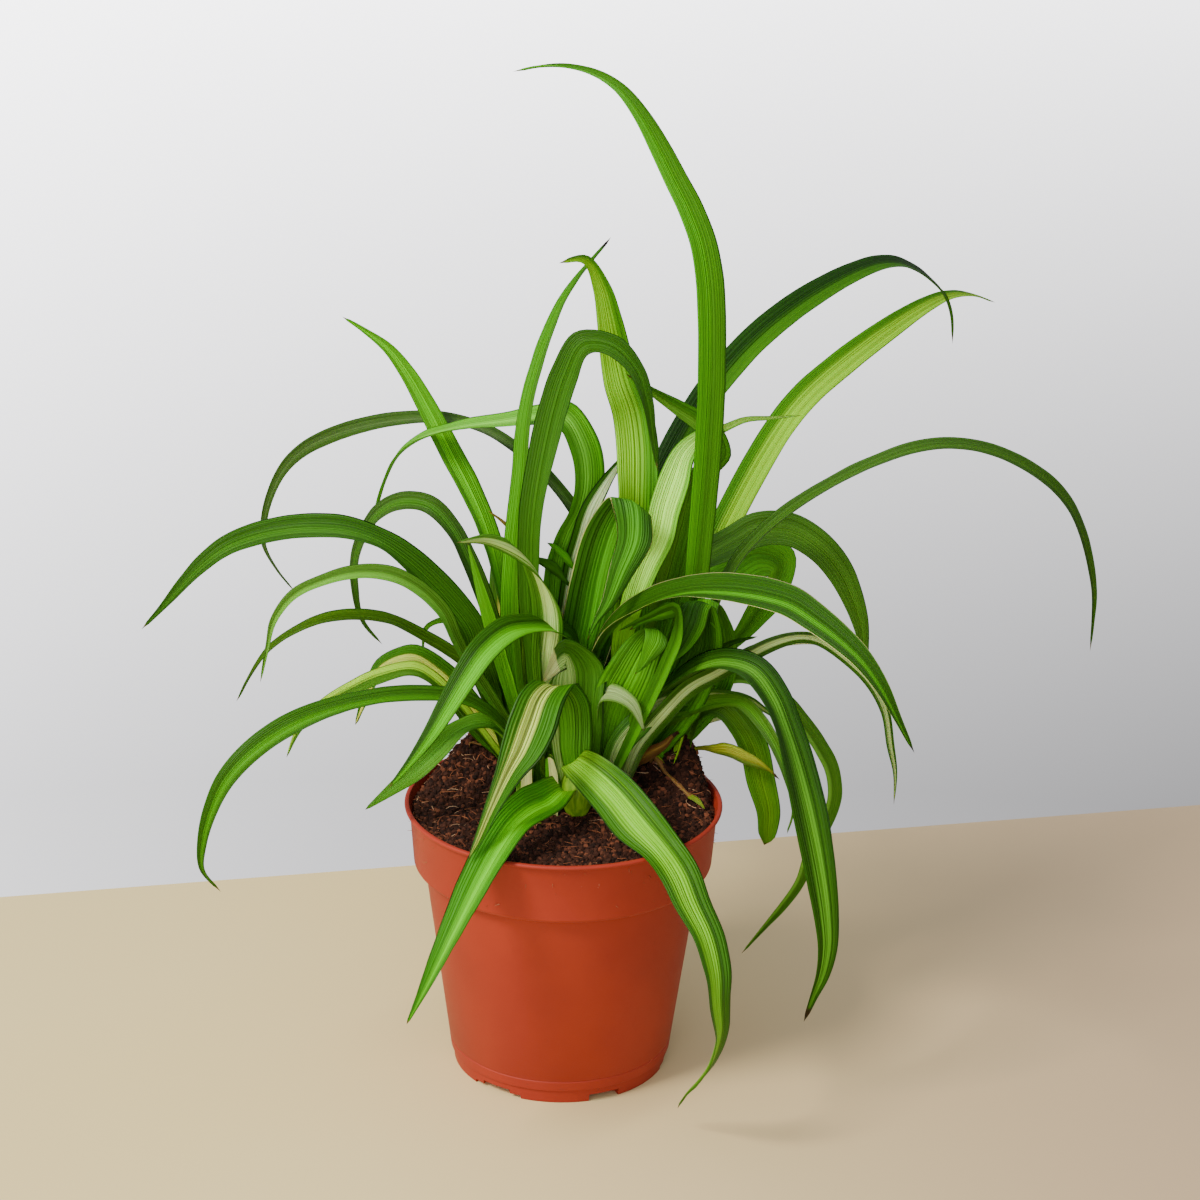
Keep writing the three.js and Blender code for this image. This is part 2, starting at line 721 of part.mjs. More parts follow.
// A leaf: a folded strap of even thickness, six corners to a section, rolled about its midrib.
function leafGeometry(leaf) {
  const curve = midrib(leaf);
  const count = Math.max(FEWEST_STATIONS, Math.round(curve.getLength() / STATION_STEP));
  const spine = curve.getSpacedPoints(count);
  const out = THREE.MathUtils.degToRad(leaf.heading);
  const flat = new THREE.Vector3(Math.sin(out), -Math.cos(out), 0);
  const rollAt = leaf.roll.map((_, i) => i / (leaf.roll.length - 1));
  const position = [];
  spine.forEach((middle, i) => {
    const t = i / count;
    const tangent = new THREE.Vector3().subVectors(
      spine[Math.min(i + 1, count)],
      spine[Math.max(i - 1, 0)],
    );
    if (i === 0) tangent.set(0, 0, 1);
    tangent.normalize();
    const lateral = flat.clone().addScaledVector(tangent, -tangent.dot(flat)).normalize();
    lateral.applyAxisAngle(tangent, -THREE.MathUtils.degToRad(along(t, rollAt, leaf.roll)));
    const upper = new THREE.Vector3().crossVectors(lateral, tangent);
    const half = (leaf.width / 2) * widthShare(leaf, t);
    const fold = THREE.MathUtils.degToRad(along(t, FOLD_AT, FOLD_DEG));
    const across = half * Math.cos(fold);
    const lift = half * Math.sin(fold);
    const inX = BLADE_T * Math.sin(fold);
    const inZ = BLADE_T * Math.cos(fold);
    const section = [
      [-across, lift],
      [0, 0],
      [across, lift],
      [across + inX, lift - inZ],
      [0, -BLADE_T / Math.cos(fold)],
      [-across - inX, lift - inZ],
    ];
    for (const [x, z] of section) {
      const corner = middle.clone().addScaledVector(lateral, x).addScaledVector(upper, z);
      position.push(corner.x, corner.y, corner.z);
    }
  });
  return strap(position, count);
}

// Joins the sections of a strap, with the same diagonals above and below, and closes both ends.
function strap(position, count) {
  const index = [];
  const quad = (a, b, c, d) => index.push(a, b, c, a, c, d);
  for (let i = 0; i < count; i++) {
    const near = i * 6;
    const far = near + 6;
    quad(near, near + 1, far + 1, far);
    quad(near + 1, near + 2, far + 2, far + 1);
    quad(near + 2, near + 3, far + 3, far + 2);
    index.push(near + 3, near + 4, far + 3, near + 4, far + 4, far + 3);
    index.push(near + 4, near + 5, far + 4, near + 5, far + 5, far + 4);
    quad(near + 5, near, far, far + 5);
  }
  const end = count * 6;
  index.push(0, 4, 1, 0, 5, 4, 1, 4, 2, 2, 4, 3);
  const cap = [0, 1, 4, 0, 4, 5, 1, 2, 4, 2, 3, 4];
  index.push(...cap.map((corner) => end + corner));
  const geometry = new THREE.BufferGeometry();
  geometry.setAttribute("position", new THREE.Float32BufferAttribute(position, 3));
  geometry.setIndex(index);
  return geometry;
}

const plant = new THREE.Group();

function piece(name, geometry, material) {
  const mesh = new THREE.Mesh(geometry, material);
  mesh.name = name;
  plant.add(mesh);
}

piece("pot", potGeometry(), finish(0xb5532f, 0.6));
piece("soil", soilGeometry(), finish(0x2b1a13, 0.95));
for (const [place, crown] of Object.entries(CROWNS)) {
  piece(`crown_${place}`, crownGeometry(crown), finish(0xb9c98a, 0.6));
}

// Leaves of one name grow from one sheath, as one body.
const blades = new Map();
for (const leaf of LEAVES) {
  const blade = solid(leafGeometry(leaf));
  const first = blades.get(leaf.name);
  blades.set(leaf.name, { body: first ? first.body.add(blade) : blade, tone: leaf.tone });
}
for (const [name, { body, tone }] of blades) {
  piece(name, geometryOf(body), finish(TONES[tone], 0.5));
}

export default plant;
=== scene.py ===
# %% [markdown]
# # A potted spider plant
# About fifty strap leaves arch out of four crowns, in a moulded terracotta-coloured nursery pot. The
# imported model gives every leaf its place, width and twist. This lesson dresses it: fine blades that
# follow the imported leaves, a smooth pot with its mould marks, and crumbly peat.
# Everything is in metres, with +Z up and the origin in the middle of the pot's foot.

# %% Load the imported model
import functools
import math

import bmesh
import bpy
from mathutils import Matrix, Vector, noise


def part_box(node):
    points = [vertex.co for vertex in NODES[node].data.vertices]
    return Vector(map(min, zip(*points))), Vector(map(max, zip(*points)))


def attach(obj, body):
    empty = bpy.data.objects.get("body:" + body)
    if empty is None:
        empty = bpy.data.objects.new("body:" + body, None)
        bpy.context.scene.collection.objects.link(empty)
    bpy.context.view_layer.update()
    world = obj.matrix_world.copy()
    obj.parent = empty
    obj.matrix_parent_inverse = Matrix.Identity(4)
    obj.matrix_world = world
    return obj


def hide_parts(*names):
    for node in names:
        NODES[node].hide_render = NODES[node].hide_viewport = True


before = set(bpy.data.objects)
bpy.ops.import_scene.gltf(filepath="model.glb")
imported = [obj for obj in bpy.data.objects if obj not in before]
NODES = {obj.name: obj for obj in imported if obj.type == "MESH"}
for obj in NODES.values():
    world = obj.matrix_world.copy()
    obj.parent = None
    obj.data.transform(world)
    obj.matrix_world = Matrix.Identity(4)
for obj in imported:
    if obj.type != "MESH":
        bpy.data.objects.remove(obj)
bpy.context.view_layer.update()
print("packed nodes:", len(NODES))

# %% [markdown]
# ## The camera
# The camera takes the photograph's view. It looks 20 degrees down from just under a metre away, with a
# long lens, so that the pot hardly tapers by perspective.

# %% Camera
LOOK_AT = Vector((0.0111, 0.0, 0.1684))
DISTANCE = 0.9945
PITCH = math.radians(20.19)
ROLL = math.radians(1.057)
SENSOR_WIDTH = 36
LENS = 90

scene = bpy.context.scene
camera = bpy.data.objects.new("camera", bpy.data.cameras.new("camera"))
scene.collection.objects.link(camera)
camera.data.sensor_width = SENSOR_WIDTH
camera.data.lens = LENS
away = Vector((0, -math.cos(PITCH), math.sin(PITCH)))
camera.matrix_world = (
    Matrix.Translation(LOOK_AT + DISTANCE * away)
    @ Matrix.Rotation(math.pi / 2 - PITCH, 4, "X")
    @ Matrix.Rotation(ROLL, 4, "Z")
)
scene.camera = camera
print("camera stands at", [round(value, 3) for value in camera.matrix_world.translation])

# %% [markdown]
# ## Helpers for node trees
# Materials and Geometry Nodes are both trees of nodes. One helper that adds a node and fills its
# sockets, with a number or with a link, keeps each tree as short as a formula. The sums that formulas
# use most get short names of their own.


# %% Node helpers
def node(tree, kind, inputs=None, **settings):
    """Adds a node. inputs gives a value, or another node's socket, for each socket name or number."""
    made = tree.nodes.new(kind)
    for key, value in settings.items():
        setattr(made, key, value)
    for key, value in (inputs or {}).items():
        if isinstance(value, bpy.types.NodeSocket):
            tree.links.new(value, made.inputs[key])
        else:
            made.inputs[key].default_value = value
    return made


def out(tree, kind, inputs=None, **settings):
    """Adds a node and gives its first output."""
    return node(tree, kind, inputs, **settings).outputs[0]


def maths(tree, operation, a, b=0.0, c=0.0, clamp=False):
    return out(tree, "ShaderNodeMath", {0: a, 1: b, 2: c}, operation=operation, use_clamp=clamp)


def sums(tree):
    """For one tree: a + b, a - b, a * b and a * b + c."""
    kinds = ("ADD", "SUBTRACT", "MULTIPLY", "MULTIPLY_ADD")
    return [functools.partial(maths, tree, kind) for kind in kinds]


def vectors(tree, operation, a, b=(0, 0, 0)):
    return out(tree, "ShaderNodeVectorMath", {0: a, 1: b}, operation=operation)


def scaled(tree, vector, factor):
    return out(tree, "ShaderNodeVectorMath", {0: vector, "Scale": factor}, operation="SCALE")


def vector_of(tree, x, y, z):
    return out(tree, "ShaderNodeCombineXYZ", {0: x, 1: y, 2: z})


def parts_of(tree, vector):
    return node(tree, "ShaderNodeSeparateXYZ", {0: vector}).outputs


def soft_step(tree, value, low, high):
    """0 at low and 1 at high, with a smooth step between them. low may be the larger of the two."""
    span = {"Value": value, "From Min": low, "From Max": high}
    return out(tree, "ShaderNodeMapRange", span, interpolation_type="SMOOTHSTEP")


def noise_at(tree, scale, detail=2.0, vector=None):
    """Noise over the object's own coordinates, or over another vector."""
    if vector is None:
        vector = node(tree, "ShaderNodeTexCoord").outputs["Object"]
    return out(tree, "ShaderNodeTexNoise", {"Vector": vector, "Scale": scale, "Detail": detail})


def add_sockets(tree, inputs, outputs):
    """Names a tree's inputs, as (name, kind, value), and its outputs, as (name, kind)."""
    for name, kind, value in inputs:
        socket = tree.interface.new_socket(name, in_out="INPUT", socket_type="NodeSocket" + kind)
        if value is not None:
            socket.default_value = value
    for name, kind in outputs:
        tree.interface.new_socket(name, in_out="OUTPUT", socket_type="NodeSocket" + kind)
    return node(tree, "NodeGroupInput").outputs


def finish_tree(tree, results):
    node(tree, "NodeGroupOutput", dict(enumerate(results)))
    return tree


def rgb(code):
    """A colour for a shader from six hexadecimal digits, as a colour picker shows them."""
    shown = [int(code[i : i + 2], 16) / 255 for i in (0, 2, 4)]
    linear = [v / 12.92 if v <= 0.04045 else ((v + 0.055) / 1.055) ** 2.4 for v in shown]
    return (*linear, 1)


print("node helpers are ready, and white is", rgb("ffffff"))

# %% [markdown]
# A Geometry Nodes tree is run on an object by a modifier. Its inputs are set by their identifiers,
# and the evaluated result is then copied to a plain mesh, because a finished piece keeps no modifier.


# %% Run a tree
def new_object(name, mesh):
    made = bpy.data.objects.new(name, mesh)
    scene.collection.objects.link(made)
    return made


def plain_copy(name, source):
    """What a source's modifiers make of it, as a plain mesh object. The source is removed."""
    bpy.context.view_layer.update()
    evaluated = source.evaluated_get(bpy.context.evaluated_depsgraph_get())
    result = bpy.data.meshes.new_from_object(evaluated)
    bpy.data.objects.remove(source)
    return new_object(name, result)


def run_tree(name, mesh, tree, values):
    """Runs a Geometry Nodes tree on a mesh and gives the result as a plain mesh object."""
    source = new_object(name + "_source", mesh)
    modifier = source.modifiers.new("tree", "NODES")
    modifier.node_group = tree
    for item in tree.interface.items_tree:
        if item.in_out == "INPUT" and item.name in values:
            modifier[item.identifier] = values[item.name]
    return plain_copy(name, source)


# %% [markdown]
# The pot, the peat and the root fibres are all built as rows of points with faces between them.


# %% Skin rows of points
def angles(count):
    return [2 * math.pi * i / count for i in range(count)]


def skinned(name, rows):
    """A closed mesh over rows of points. A row of one point is a pole, where the faces meet."""
    shape = bmesh.new()
    rows = [[shape.verts.new(point) for point in row] for row in rows]
    sides = max(len(row) for row in rows)
    for low, high in zip(rows, rows[1:]):
        for i in range(sides):
            j = (i + 1) % sides
            ring = [low[i % len(low)], low[j % len(low)], high[j % len(high)], high[i % len(high)]]
            shape.faces.new(list(dict.fromkeys(ring)))
    bmesh.ops.recalc_face_normals(shape, faces=shape.faces)
    mesh = bpy.data.meshes.new(name)
    shape.to_mesh(mesh)
    shape.free()
    return mesh


def turned(name, profile, sides):
    """A closed solid of revolution. The profile starts and ends on the axis."""
    turns = {True: angles(sides), False: [0.0]}
    rows = [[(r * math.cos(a), r * math.sin(a), z) for a in turns[r > 0]] for r, z in profile]
    return skinned(name, rows)


def soften(mesh, degrees=38):
    """Smooth shading, with edges left sharp where the faces turn by more than this."""
    mesh.shade_smooth()
    mesh.set_sharp_from_angle(angle=math.radians(degrees))


# %% [markdown]
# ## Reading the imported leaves
# A packed leaf is a folded strap: rings of six corners, which are the left edge, midrib and right edge
# above and the same three below. Its tip is a flat cap of four triangles. Starting from that cap, the
# triangles between two rings tell which corner leads to which, so each leaf can be followed from its
# tip to its foot. That gives its midrib, its width and its twist, and most leaves need no table of
# points.

# %% Follow a strap
# how nearly parallel two normals are on one flat cap, and at most across the cap's edge
SAME_PLANE = 0.9999
SHARP_TURN = 0.8


def tip_ring(corner):
    """The six corners of a tip, where this corner joins the four triangles of a flat cap."""
    for first in corner.link_faces:
        cap = [face for face in corner.link_faces if face.normal.dot(first.normal) > SAME_PLANE]
        if len(cap) != 4:
            continue
        after = {}
        for face in cap:
            corners = list(face.verts)
            at = corners.index(corner)
            after[corners[(at + 1) % 3]] = corners[(at + 2) % 3]
        chain = [vert for vert in after if vert not in after.values()]
        while len(chain) == 1 or chain[-1] in after:
            chain.append(after[chain[-1]])
        ring = chain[1:] + [corner, chain[0]]
        if len(ring) == 6 and all(stands_apart(ring, i, first) for i in range(6)):
            return ring
    return None


def edge_between(a, b):
    return next((edge for edge in a.link_edges if edge.other_vert(a) == b), None)


def stands_apart(ring, i, cap_face):
    """Whether the strap turns sharply at this side of its end cap, unlike within a flat stretch."""
    edge = edge_between(ring[i], ring[(i + 1) % 6])
    if edge is None:
        return False
    return min(face.normal.dot(cap_face.normal) for face in edge.link_faces) < SHARP_TURN


def third(a, b, seen):
    """The corner of the triangle on edge a-b that hasn't been seen yet."""
    edge = edge_between(a, b) if a and b else None
    found = [v for f in edge.link_faces for v in f.verts if v not in seen] if edge else []
    return found[0] if found else None


def follow(ring):
    """The strap's rings from its tip to its foot, or to where it grows into another strap."""
    rings = [ring]
    seen = set(ring)
    while True:
        old = rings[-1]
        new = {label: third(old[i], old[i + 1], seen) for i, label in enumerate((0, 1, 2, 4, 5))}
        new[3] = third(old[3], new[4], seen | set(new.values()))
        ring = [new[label] for label in range(6)]
        if None in ring or any(edge_between(ring[i - 1], ring[i]) is None for i in range(6)):
            return rings
        rings.append(ring)
        seen.update(ring)


# %% [markdown]
# A leaf's foot is cut off level inside its crown, and that level face would look like a tip. It is found
# first, as the highest face that looks straight down, and its corners are left out of the search.

# %% Read all leaves
CLOSE = 1e-6
FACES_DOWN = -0.99999
SMALLEST_AREA = 1e-7


def guide_of(rings):
    """For each ring: the midrib, half the width as a vector, and how far the edges stand up."""
    guide = []
    for left, rib, right, *_ in [[vert.co.copy() for vert in ring] for ring in reversed(rings)]:
        guide.append((rib, (right - left) / 2, (left + right) / 2 - rib))
    return guide


def read_leaves(name):
    """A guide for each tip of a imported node. Corners on its level foot are no tips."""
    shape = bmesh.new()
    shape.from_mesh(NODES[name].data)
    bmesh.ops.remove_doubles(shape, verts=shape.verts, dist=CLOSE)
    down = [face for face in shape.faces if face.normal.z < FACES_DOWN]
    level = max(face.calc_center_median().z for face in down if face.calc_area() > SMALLEST_AREA)
    rings = [tip_ring(vert) for vert in shape.verts if abs(vert.co.z - level) > CLOSE]
    guides = [guide_of(follow(ring)) for ring in rings if ring]
    shape.free()
    return guides


leaf_nodes = sorted(name for name in NODES if name.startswith("leaf_") or "leaves" in name)
LEAVES = {name: read_leaves(name) for name in leaf_nodes}
print("leaves read:", sum(len(guides) for guides in LEAVES.values()))

# %% [markdown]
# ## The blade
# A spider plant's leaf is a long strap that is folded like a V at its foot and opens towards its tip.
# It is a shape that follows a rule, so one Geometry Nodes tree makes every leaf: a flat grid is wrapped
# into an upper and a lower skin, and each row of it is moved to its place along the guide. The tree
# rounds the fold, thins the blade towards its edges, closes both ends and lets the edges wave a little.
# The attribute called blade keeps where each point lies across and along the leaf, for the material.

# %% The blade tree
# each end closes over 1 / ENDS of the length, and the foot spreads over FOOT_SHARE of it
ENDS = 60.0
FOOT_SHARE = 0.4
EDGE_WAVES = 7.0
# the fold's section is FOLD_SCALE * (sqrt(across * across + FOLD_SQUARE) - FOLD_RADIUS), not a sharp V
FOLD_SQUARE = 0.03
FOLD_RADIUS = 0.173
FOLD_SCALE = 1.185
WELD = 2e-6


def blade_tree():
    tree = bpy.data.node_groups.new("leaf blade", "GeometryNodeTree")
    plus, minus, times, times_plus = sums(tree)
    given = add_sockets(
        tree,
        [
            ("Guide", "Geometry", None),
            ("Rows", "Int", 80),
            ("Columns", "Int", 16),
            ("Thickness", "Float", 0.0005),
            ("Ripple", "Float", 0.0006),
            ("Broader", "Float", 1.0),
            ("Foot Spread", "Float", 0.5),
            ("Flatter", "Float", 1.0),
            ("Seed", "Float", 0.0),
            ("Finish", "Material", None),
        ],
        [("Blade", "Geometry")],
    )
    curve = out(tree, "GeometryNodeMeshToCurve", {"Mesh": given["Guide"]})
    curve = out(tree, "GeometryNodeCurveSplineType", {"Curve": curve}, spline_type="CATMULL_ROM")
    curve = out(tree, "GeometryNodeSetSplineResolution", {"Geometry": curve, "Resolution": 10})

    # the flat grid runs once round the blade, and from its foot to its tip
    round_count = times_plus(given["Columns"], 2.0, 1.0)
    size = {"Size X": 1.0, "Size Y": 1.0, "Vertices X": round_count, "Vertices Y": given["Rows"]}
    grid = out(tree, "GeometryNodeMeshGrid", size)
    flat = parts_of(tree, out(tree, "GeometryNodeInputPosition"))
    wrap = plus(flat["X"], 0.5)
    along = plus(flat["Y"], 0.5, clamp=True)
    across = minus(1.0, maths(tree, "ABSOLUTE", minus(times(wrap, 4.0), 2.0)))
    under = maths(tree, "GREATER_THAN", wrap, 0.5)

    # what the guide says at this row: the midrib's point and the two vectors of its section
    rows = {}
    for name in ("half", "lift"):
        value = out(tree, "GeometryNodeInputNamedAttribute", {"Name": name}, data_type="FLOAT_VECTOR")
        sample = node(
            tree,
            "GeometryNodeSampleCurve",
            {"Curves": curve, "Factor": along, "Value": value},
            mode="FACTOR",
            use_all_curves=True,
            data_type="FLOAT_VECTOR",
        )
        rows[name] = sample.outputs["Value"]
    rib = sample.outputs["Position"]
    up = vectors(tree, "CROSS_PRODUCT", rows["half"], sample.outputs["Tangent"])
    up = vectors(tree, "NORMALIZE", up)

    # both ends close in a point, and the fold is rounded
    near_end = maths(tree, "MINIMUM", along, minus(1.0, along))
    open_share = times(near_end, ENDS, clamp=True)
    square = times(across, across)
    fold = minus(maths(tree, "SQRT", plus(square, FOLD_SQUARE)), FOLD_RADIUS)
    fold = times(fold, FOLD_SCALE)

    # slow waves on each edge, and none on the midrib
    side = maths(tree, "SIGN", across)
    where = vector_of(tree, times(along, EDGE_WAVES), side, given["Seed"])
    wave = times(minus(noise_at(tree, 1.0, 2.0, where), 0.5), given["Ripple"])
    wave = times(times(wave, square), 2.0)

    # the lower skin hangs below the upper one by a thickness that runs out at the edges
    body = maths(tree, "SQRT", minus(1.0, square, clamp=True))
    body = times(times(body, under), given["Thickness"])
    rise = times(minus(wave, body), open_share)

    widen = times_plus(soft_step(tree, along, FOOT_SHARE, 0.0), given["Foot Spread"], 1.0)
    spread = times(times(times(across, open_share), given["Broader"]), widen)
    stand = times(times(fold, open_share), given["Flatter"])
    point = vectors(tree, "ADD", rib, scaled(tree, rows["half"], spread))
    point = vectors(tree, "ADD", point, scaled(tree, rows["lift"], stand))
    point = vectors(tree, "ADD", point, scaled(tree, up, rise))

    # half a step in the seed tells the lower skin from the upper one
    mark = vector_of(tree, across, along, times_plus(under, 0.5, given["Seed"]))
    shape = out(
        tree,
        "GeometryNodeStoreNamedAttribute",
        {"Geometry": grid, "Name": "blade", "Value": mark},
        data_type="FLOAT_VECTOR",
        domain="POINT",
    )
    shape = out(tree, "GeometryNodeSetPosition", {"Geometry": shape, "Position": point})
    shape = out(tree, "GeometryNodeMergeByDistance", {"Geometry": shape, "Distance": WELD})
    shape = out(tree, "GeometryNodeSetShadeSmooth", {"Geometry": shape})
    shape = out(tree, "GeometryNodeRealizeInstances", {"Geometry": shape})
    shape = out(tree, "GeometryNodeSetMaterial", {"Geometry": shape, "Material": given["Finish"]})
    return finish_tree(tree, [shape])


BLADE = blade_tree()
print("blade tree:", len(BLADE.nodes), "nodes")

# %% [markdown]
# ## Leaf colours
# A leaf is dark green at its edges and lighter along a band in its middle, and that band runs from
# bright green to cream. Fine parallel veins streak all of it. One shader group draws this from the
# blade attribute: each leaf gives it its own greens, the band's place and width, and how far the pale
# foot and the dry tip reach. The group only puts out colours, values and heights, and the Principled
# shader stays in each material.

# %% Leaf colour group
# streaks of noise: how quickly they change across and along the leaf, and their detail
BROAD_STREAKS = (5.0, 1.1, 2.0)
FINE_STREAKS = (24.0, 1.6, 2.0)
LINE_STREAKS = (13.0, 0.35, 1.0)
PATCHES = (1.2, 6.0, 3.0)
# the veins' number, how far they wander, and how much veins, fine streaks and patches shade the leaf
VEINS = 44.0
VEIN_WANDER = 12.0
VEIN_SHADE = 0.045
FINE_SHADE = 0.6
PATCH_SHADE = 0.3
UNDER_LIFT = 0.1
DARKEST = 0.35


def blended(tree, share, first, second, kind="MIX"):
    colours = {0: share, 6: first, 7: second}
    return node(tree, "ShaderNodeMix", colours, data_type="RGBA", blend_type=kind).outputs[2]


def leaf_colour_group():
    tree = bpy.data.node_groups.new("leaf colours", "ShaderNodeTree")
    plus, minus, times, times_plus = sums(tree)
    given = add_sockets(
        tree,
        [
            ("Green", "Color", None),
            ("Band", "Color", None),
            ("Band Place", "Float", 0.0),
            ("Band Width", "Float", 0.4),
            ("Softness", "Float", 0.2),
            ("Streaks", "Float", 0.5),
            ("Margin", "Color", None),
            ("Margin Width", "Float", 0.1),
            ("Foot", "Color", None),
            ("Foot Reach", "Float", 0.25),
            ("Tip", "Color", None),
            ("Tip Reach", "Float", 0.03),
            ("Under Band", "Float", 0.7),
            ("Lines", "Float", 0.35),
            ("Brightness With Painted Light", "Float", 1.25),
        ],
        [("Colour", "Color"), ("Height", "Float"), ("Roughness", "Float")],
    )
    place = parts_of(tree, node(tree, "ShaderNodeAttribute", attribute_name="blade").outputs["Vector"])
    across, along, seed = place["X"], place["Y"], place["Z"]
    under = maths(tree, "GREATER_THAN", maths(tree, "FRACT", seed), 0.25)
    seed = times(maths(tree, "FLOOR", seed), 3.7)
    off_rib = maths(tree, "ABSOLUTE", across)

    def streaks(fine, long, detail):
        where = vector_of(tree, times(across, fine), times(along, long), seed)
        return noise_at(tree, 1.0, detail, where)

    broad = minus(streaks(*BROAD_STREAKS), 0.5)
    fine = minus(streaks(*FINE_STREAKS), 0.5)
    patch = minus(streaks(*PATCHES), 0.5)
    vein = maths(tree, "SINE", times_plus(across, VEINS, times(broad, VEIN_WANDER)))

    # the band's edges break into streaks
    off = maths(tree, "ABSOLUTE", minus(across, given["Band Place"]))
    off = plus(minus(off, given["Band Width"]), times(broad, given["Streaks"]))
    off = plus(off, times(fine, times(given["Streaks"], 0.8)))
    band = soft_step(tree, off, given["Softness"], times(given["Softness"], -1.0))
    band = times(band, times_plus(under, minus(given["Under Band"], 1.0), 1.0))
    colour = blended(tree, band, given["Green"], given["Band"])

    margin = minus(minus(1.0, off_rib), given["Margin Width"])
    colour = blended(tree, soft_step(tree, margin, 0.03, -0.01), colour, given["Margin"])
    foot = minus(along, given["Foot Reach"])
    colour = blended(tree, soft_step(tree, foot, 0.02, -0.2), colour, given["Foot"])

    line = soft_step(tree, streaks(*LINE_STREAKS), 0.56, 0.64)
    light = minus(times_plus(fine, FINE_SHADE, 1.0), times(line, given["Lines"]))
    light = times_plus(vein, VEIN_SHADE, light)
    light = times_plus(patch, PATCH_SHADE, light)
    light = times_plus(under, UNDER_LIFT, light)
    # the last factor multiplies the colour; for leaves in the clump's shade it is painted light that
    # makes their colour lighter
    light = times(maths(tree, "MAXIMUM", light, DARKEST), given["Brightness With Painted Light"])
    colour = blended(tree, 1.0, colour, vector_of(tree, light, light, light), "MULTIPLY")

    tip = plus(plus(minus(along, 1.0), given["Tip Reach"]), times(patch, 0.02))
    colour = blended(tree, soft_step(tree, tip, -0.004, 0.006), colour, given["Tip"])

    rib = soft_step(tree, off_rib, 0.09, 0.0)
    height = minus(times_plus(vein, 0.35, fine), times(rib, 0.8))
    rough = plus(times_plus(fine, 0.25, 0.46), times(under, 0.1))
    return finish_tree(tree, [colour, height, rough])


LEAF_COLOURS = leaf_colour_group()
print("leaf colour group:", len(LEAF_COLOURS.nodes), "nodes")

# %% [markdown]
# A leaf's surface is satin, and a little light passes through it, so the shader scatters some light
# under the surface. Values that are the same all over a leaf are set on the shader's own sockets. Only
# what the group draws is linked: the colour, the roughness, and the veins' height through a bump.


# %% Material helpers
def new_material(name, **settings):
    """A material with a Principled shader, whose plain values are set on its own sockets."""
    material = bpy.data.materials.new(name)
    material.use_nodes = True
    tree = material.node_tree
    shader = tree.nodes["Principled BSDF"]
    for key, value in settings.items():
        shader.inputs[key.replace("_", " ")].default_value = value
    return material, tree, shader


def feed(tree, shader, **outputs):
    """Links outputs to a shader's sockets. A socket's name has _ for each space."""
    for key, value in outputs.items():
        tree.links.new(value, shader.inputs[key.replace("_", " ")])


def add_bump(tree, shader, height, distance, strength=1.0):
    bump = {"Height": height, "Distance": distance, "Strength": strength}
    feed(tree, shader, Normal=out(tree, "ShaderNodeBump", bump))


def leaf_material(name, look):
    material, tree, shader = new_material(
        name,
        Roughness=0.45,
        Specular_IOR_Level=0.2,
        Subsurface_Weight=0.2,
        Subsurface_Radius=(0.4, 1.0, 0.1),
        Subsurface_Scale=0.001,
    )
    values = {key: rgb(value) if isinstance(value, str) else value for key, value in look.items()}
    group = node(tree, "ShaderNodeGroup", node_tree=LEAF_COLOURS)
    for key, value in values.items():
        group.inputs[key].default_value = value
    drawn = group.outputs
    feed(tree, shader, Base_Color=drawn["Colour"], Roughness=drawn["Roughness"])
    add_bump(tree, shader, drawn["Height"], 0.0004)
    return material


# %% [markdown]
# The clump has ten kinds of leaf. Each kind is a base look, mixed from one small set of greens, and
# the leaves that show something of their own, such as a cream margin or a band that lies to one side,
# change a few of its values. The greens are deeper than they seem: the soft light lifts them.

# %% The greens
DEEP = "163d00"
DARK = "234e00"
MID = "2e6100"
FULL = "3a7700"
FRESH = "418c00"
BRIGHT = "4d9e00"
BRILLIANT = "5cb400"
LIME = "75b10a"
PALE = "83bb18"
CREAM = "c9dc60"
IVORY = "e0ea90"
DULL = "30540d"
GREY = "46672b"
OLIVE = "375b00"

# %% [markdown]
# A look is a set of values for the group's inputs. A base look holds them all, and each leaf's own look
# is its base with a few values changed. How light a leaf is in the clump is a number of its own, and it
# is painted light: blades deep in the clump's shade are painted lighter than their own colour, to stand
# in for the light that shines through them.

# %% Leaf looks
PLAIN = {
    "Green": DARK, "Band": MID, "Band Place": 0.0, "Band Width": 0.3, "Streaks": 0.3,
    "Softness": 0.3, "Margin": DEEP, "Margin Width": 0.03, "Foot": PALE, "Foot Reach": 0.16,
    "Tip": "6b5a2a", "Tip Reach": 0.012,
}
FULL_GREEN = PLAIN | {"Green": MID, "Band": FULL}
TWO_TONE = PLAIN | {
    "Green": MID, "Band": FRESH, "Band Place": -0.5, "Band Width": 0.55, "Softness": 0.15,
}
BRIGHT_BAND = PLAIN | {
    "Green": MID, "Band": BRIGHT, "Band Place": -0.1, "Band Width": 0.25, "Margin": DARK,
}
PALE_LEAF = PLAIN | {
    "Green": FULL, "Band": PALE, "Band Width": 0.75, "Streaks": 0.35, "Margin": FULL, "Foot Reach": 0.3,
}
STRIPED = PLAIN | {
    "Green": MID, "Band": CREAM, "Band Width": 0.22, "Streaks": 0.8, "Softness": 0.08, "Margin": DEEP,
}
CREAM_LEAF = PLAIN | {
    "Green": FULL, "Band": IVORY, "Band Place": 0.3, "Band Width": 0.65, "Streaks": 0.4,
    "Softness": 0.08, "Margin": DARK, "Foot": CREAM,
}
DULL_LEAF = PLAIN | {"Green": "28490a", "Band": DULL, "Margin": "1d3c06", "Lines": 0.2}
OLIVE_LEAF = PLAIN | {
    "Green": "2b5200", "Band": OLIVE, "Band Width": 0.4, "Softness": 0.4, "Lines": 0.15,
}
DRY = PLAIN | {
    "Green": "6b4a20", "Band": "a07c38", "Margin": "4d3218", "Foot": "7a5a2c", "Tip": "4a3220",
    "Tip Reach": 0.2,
}
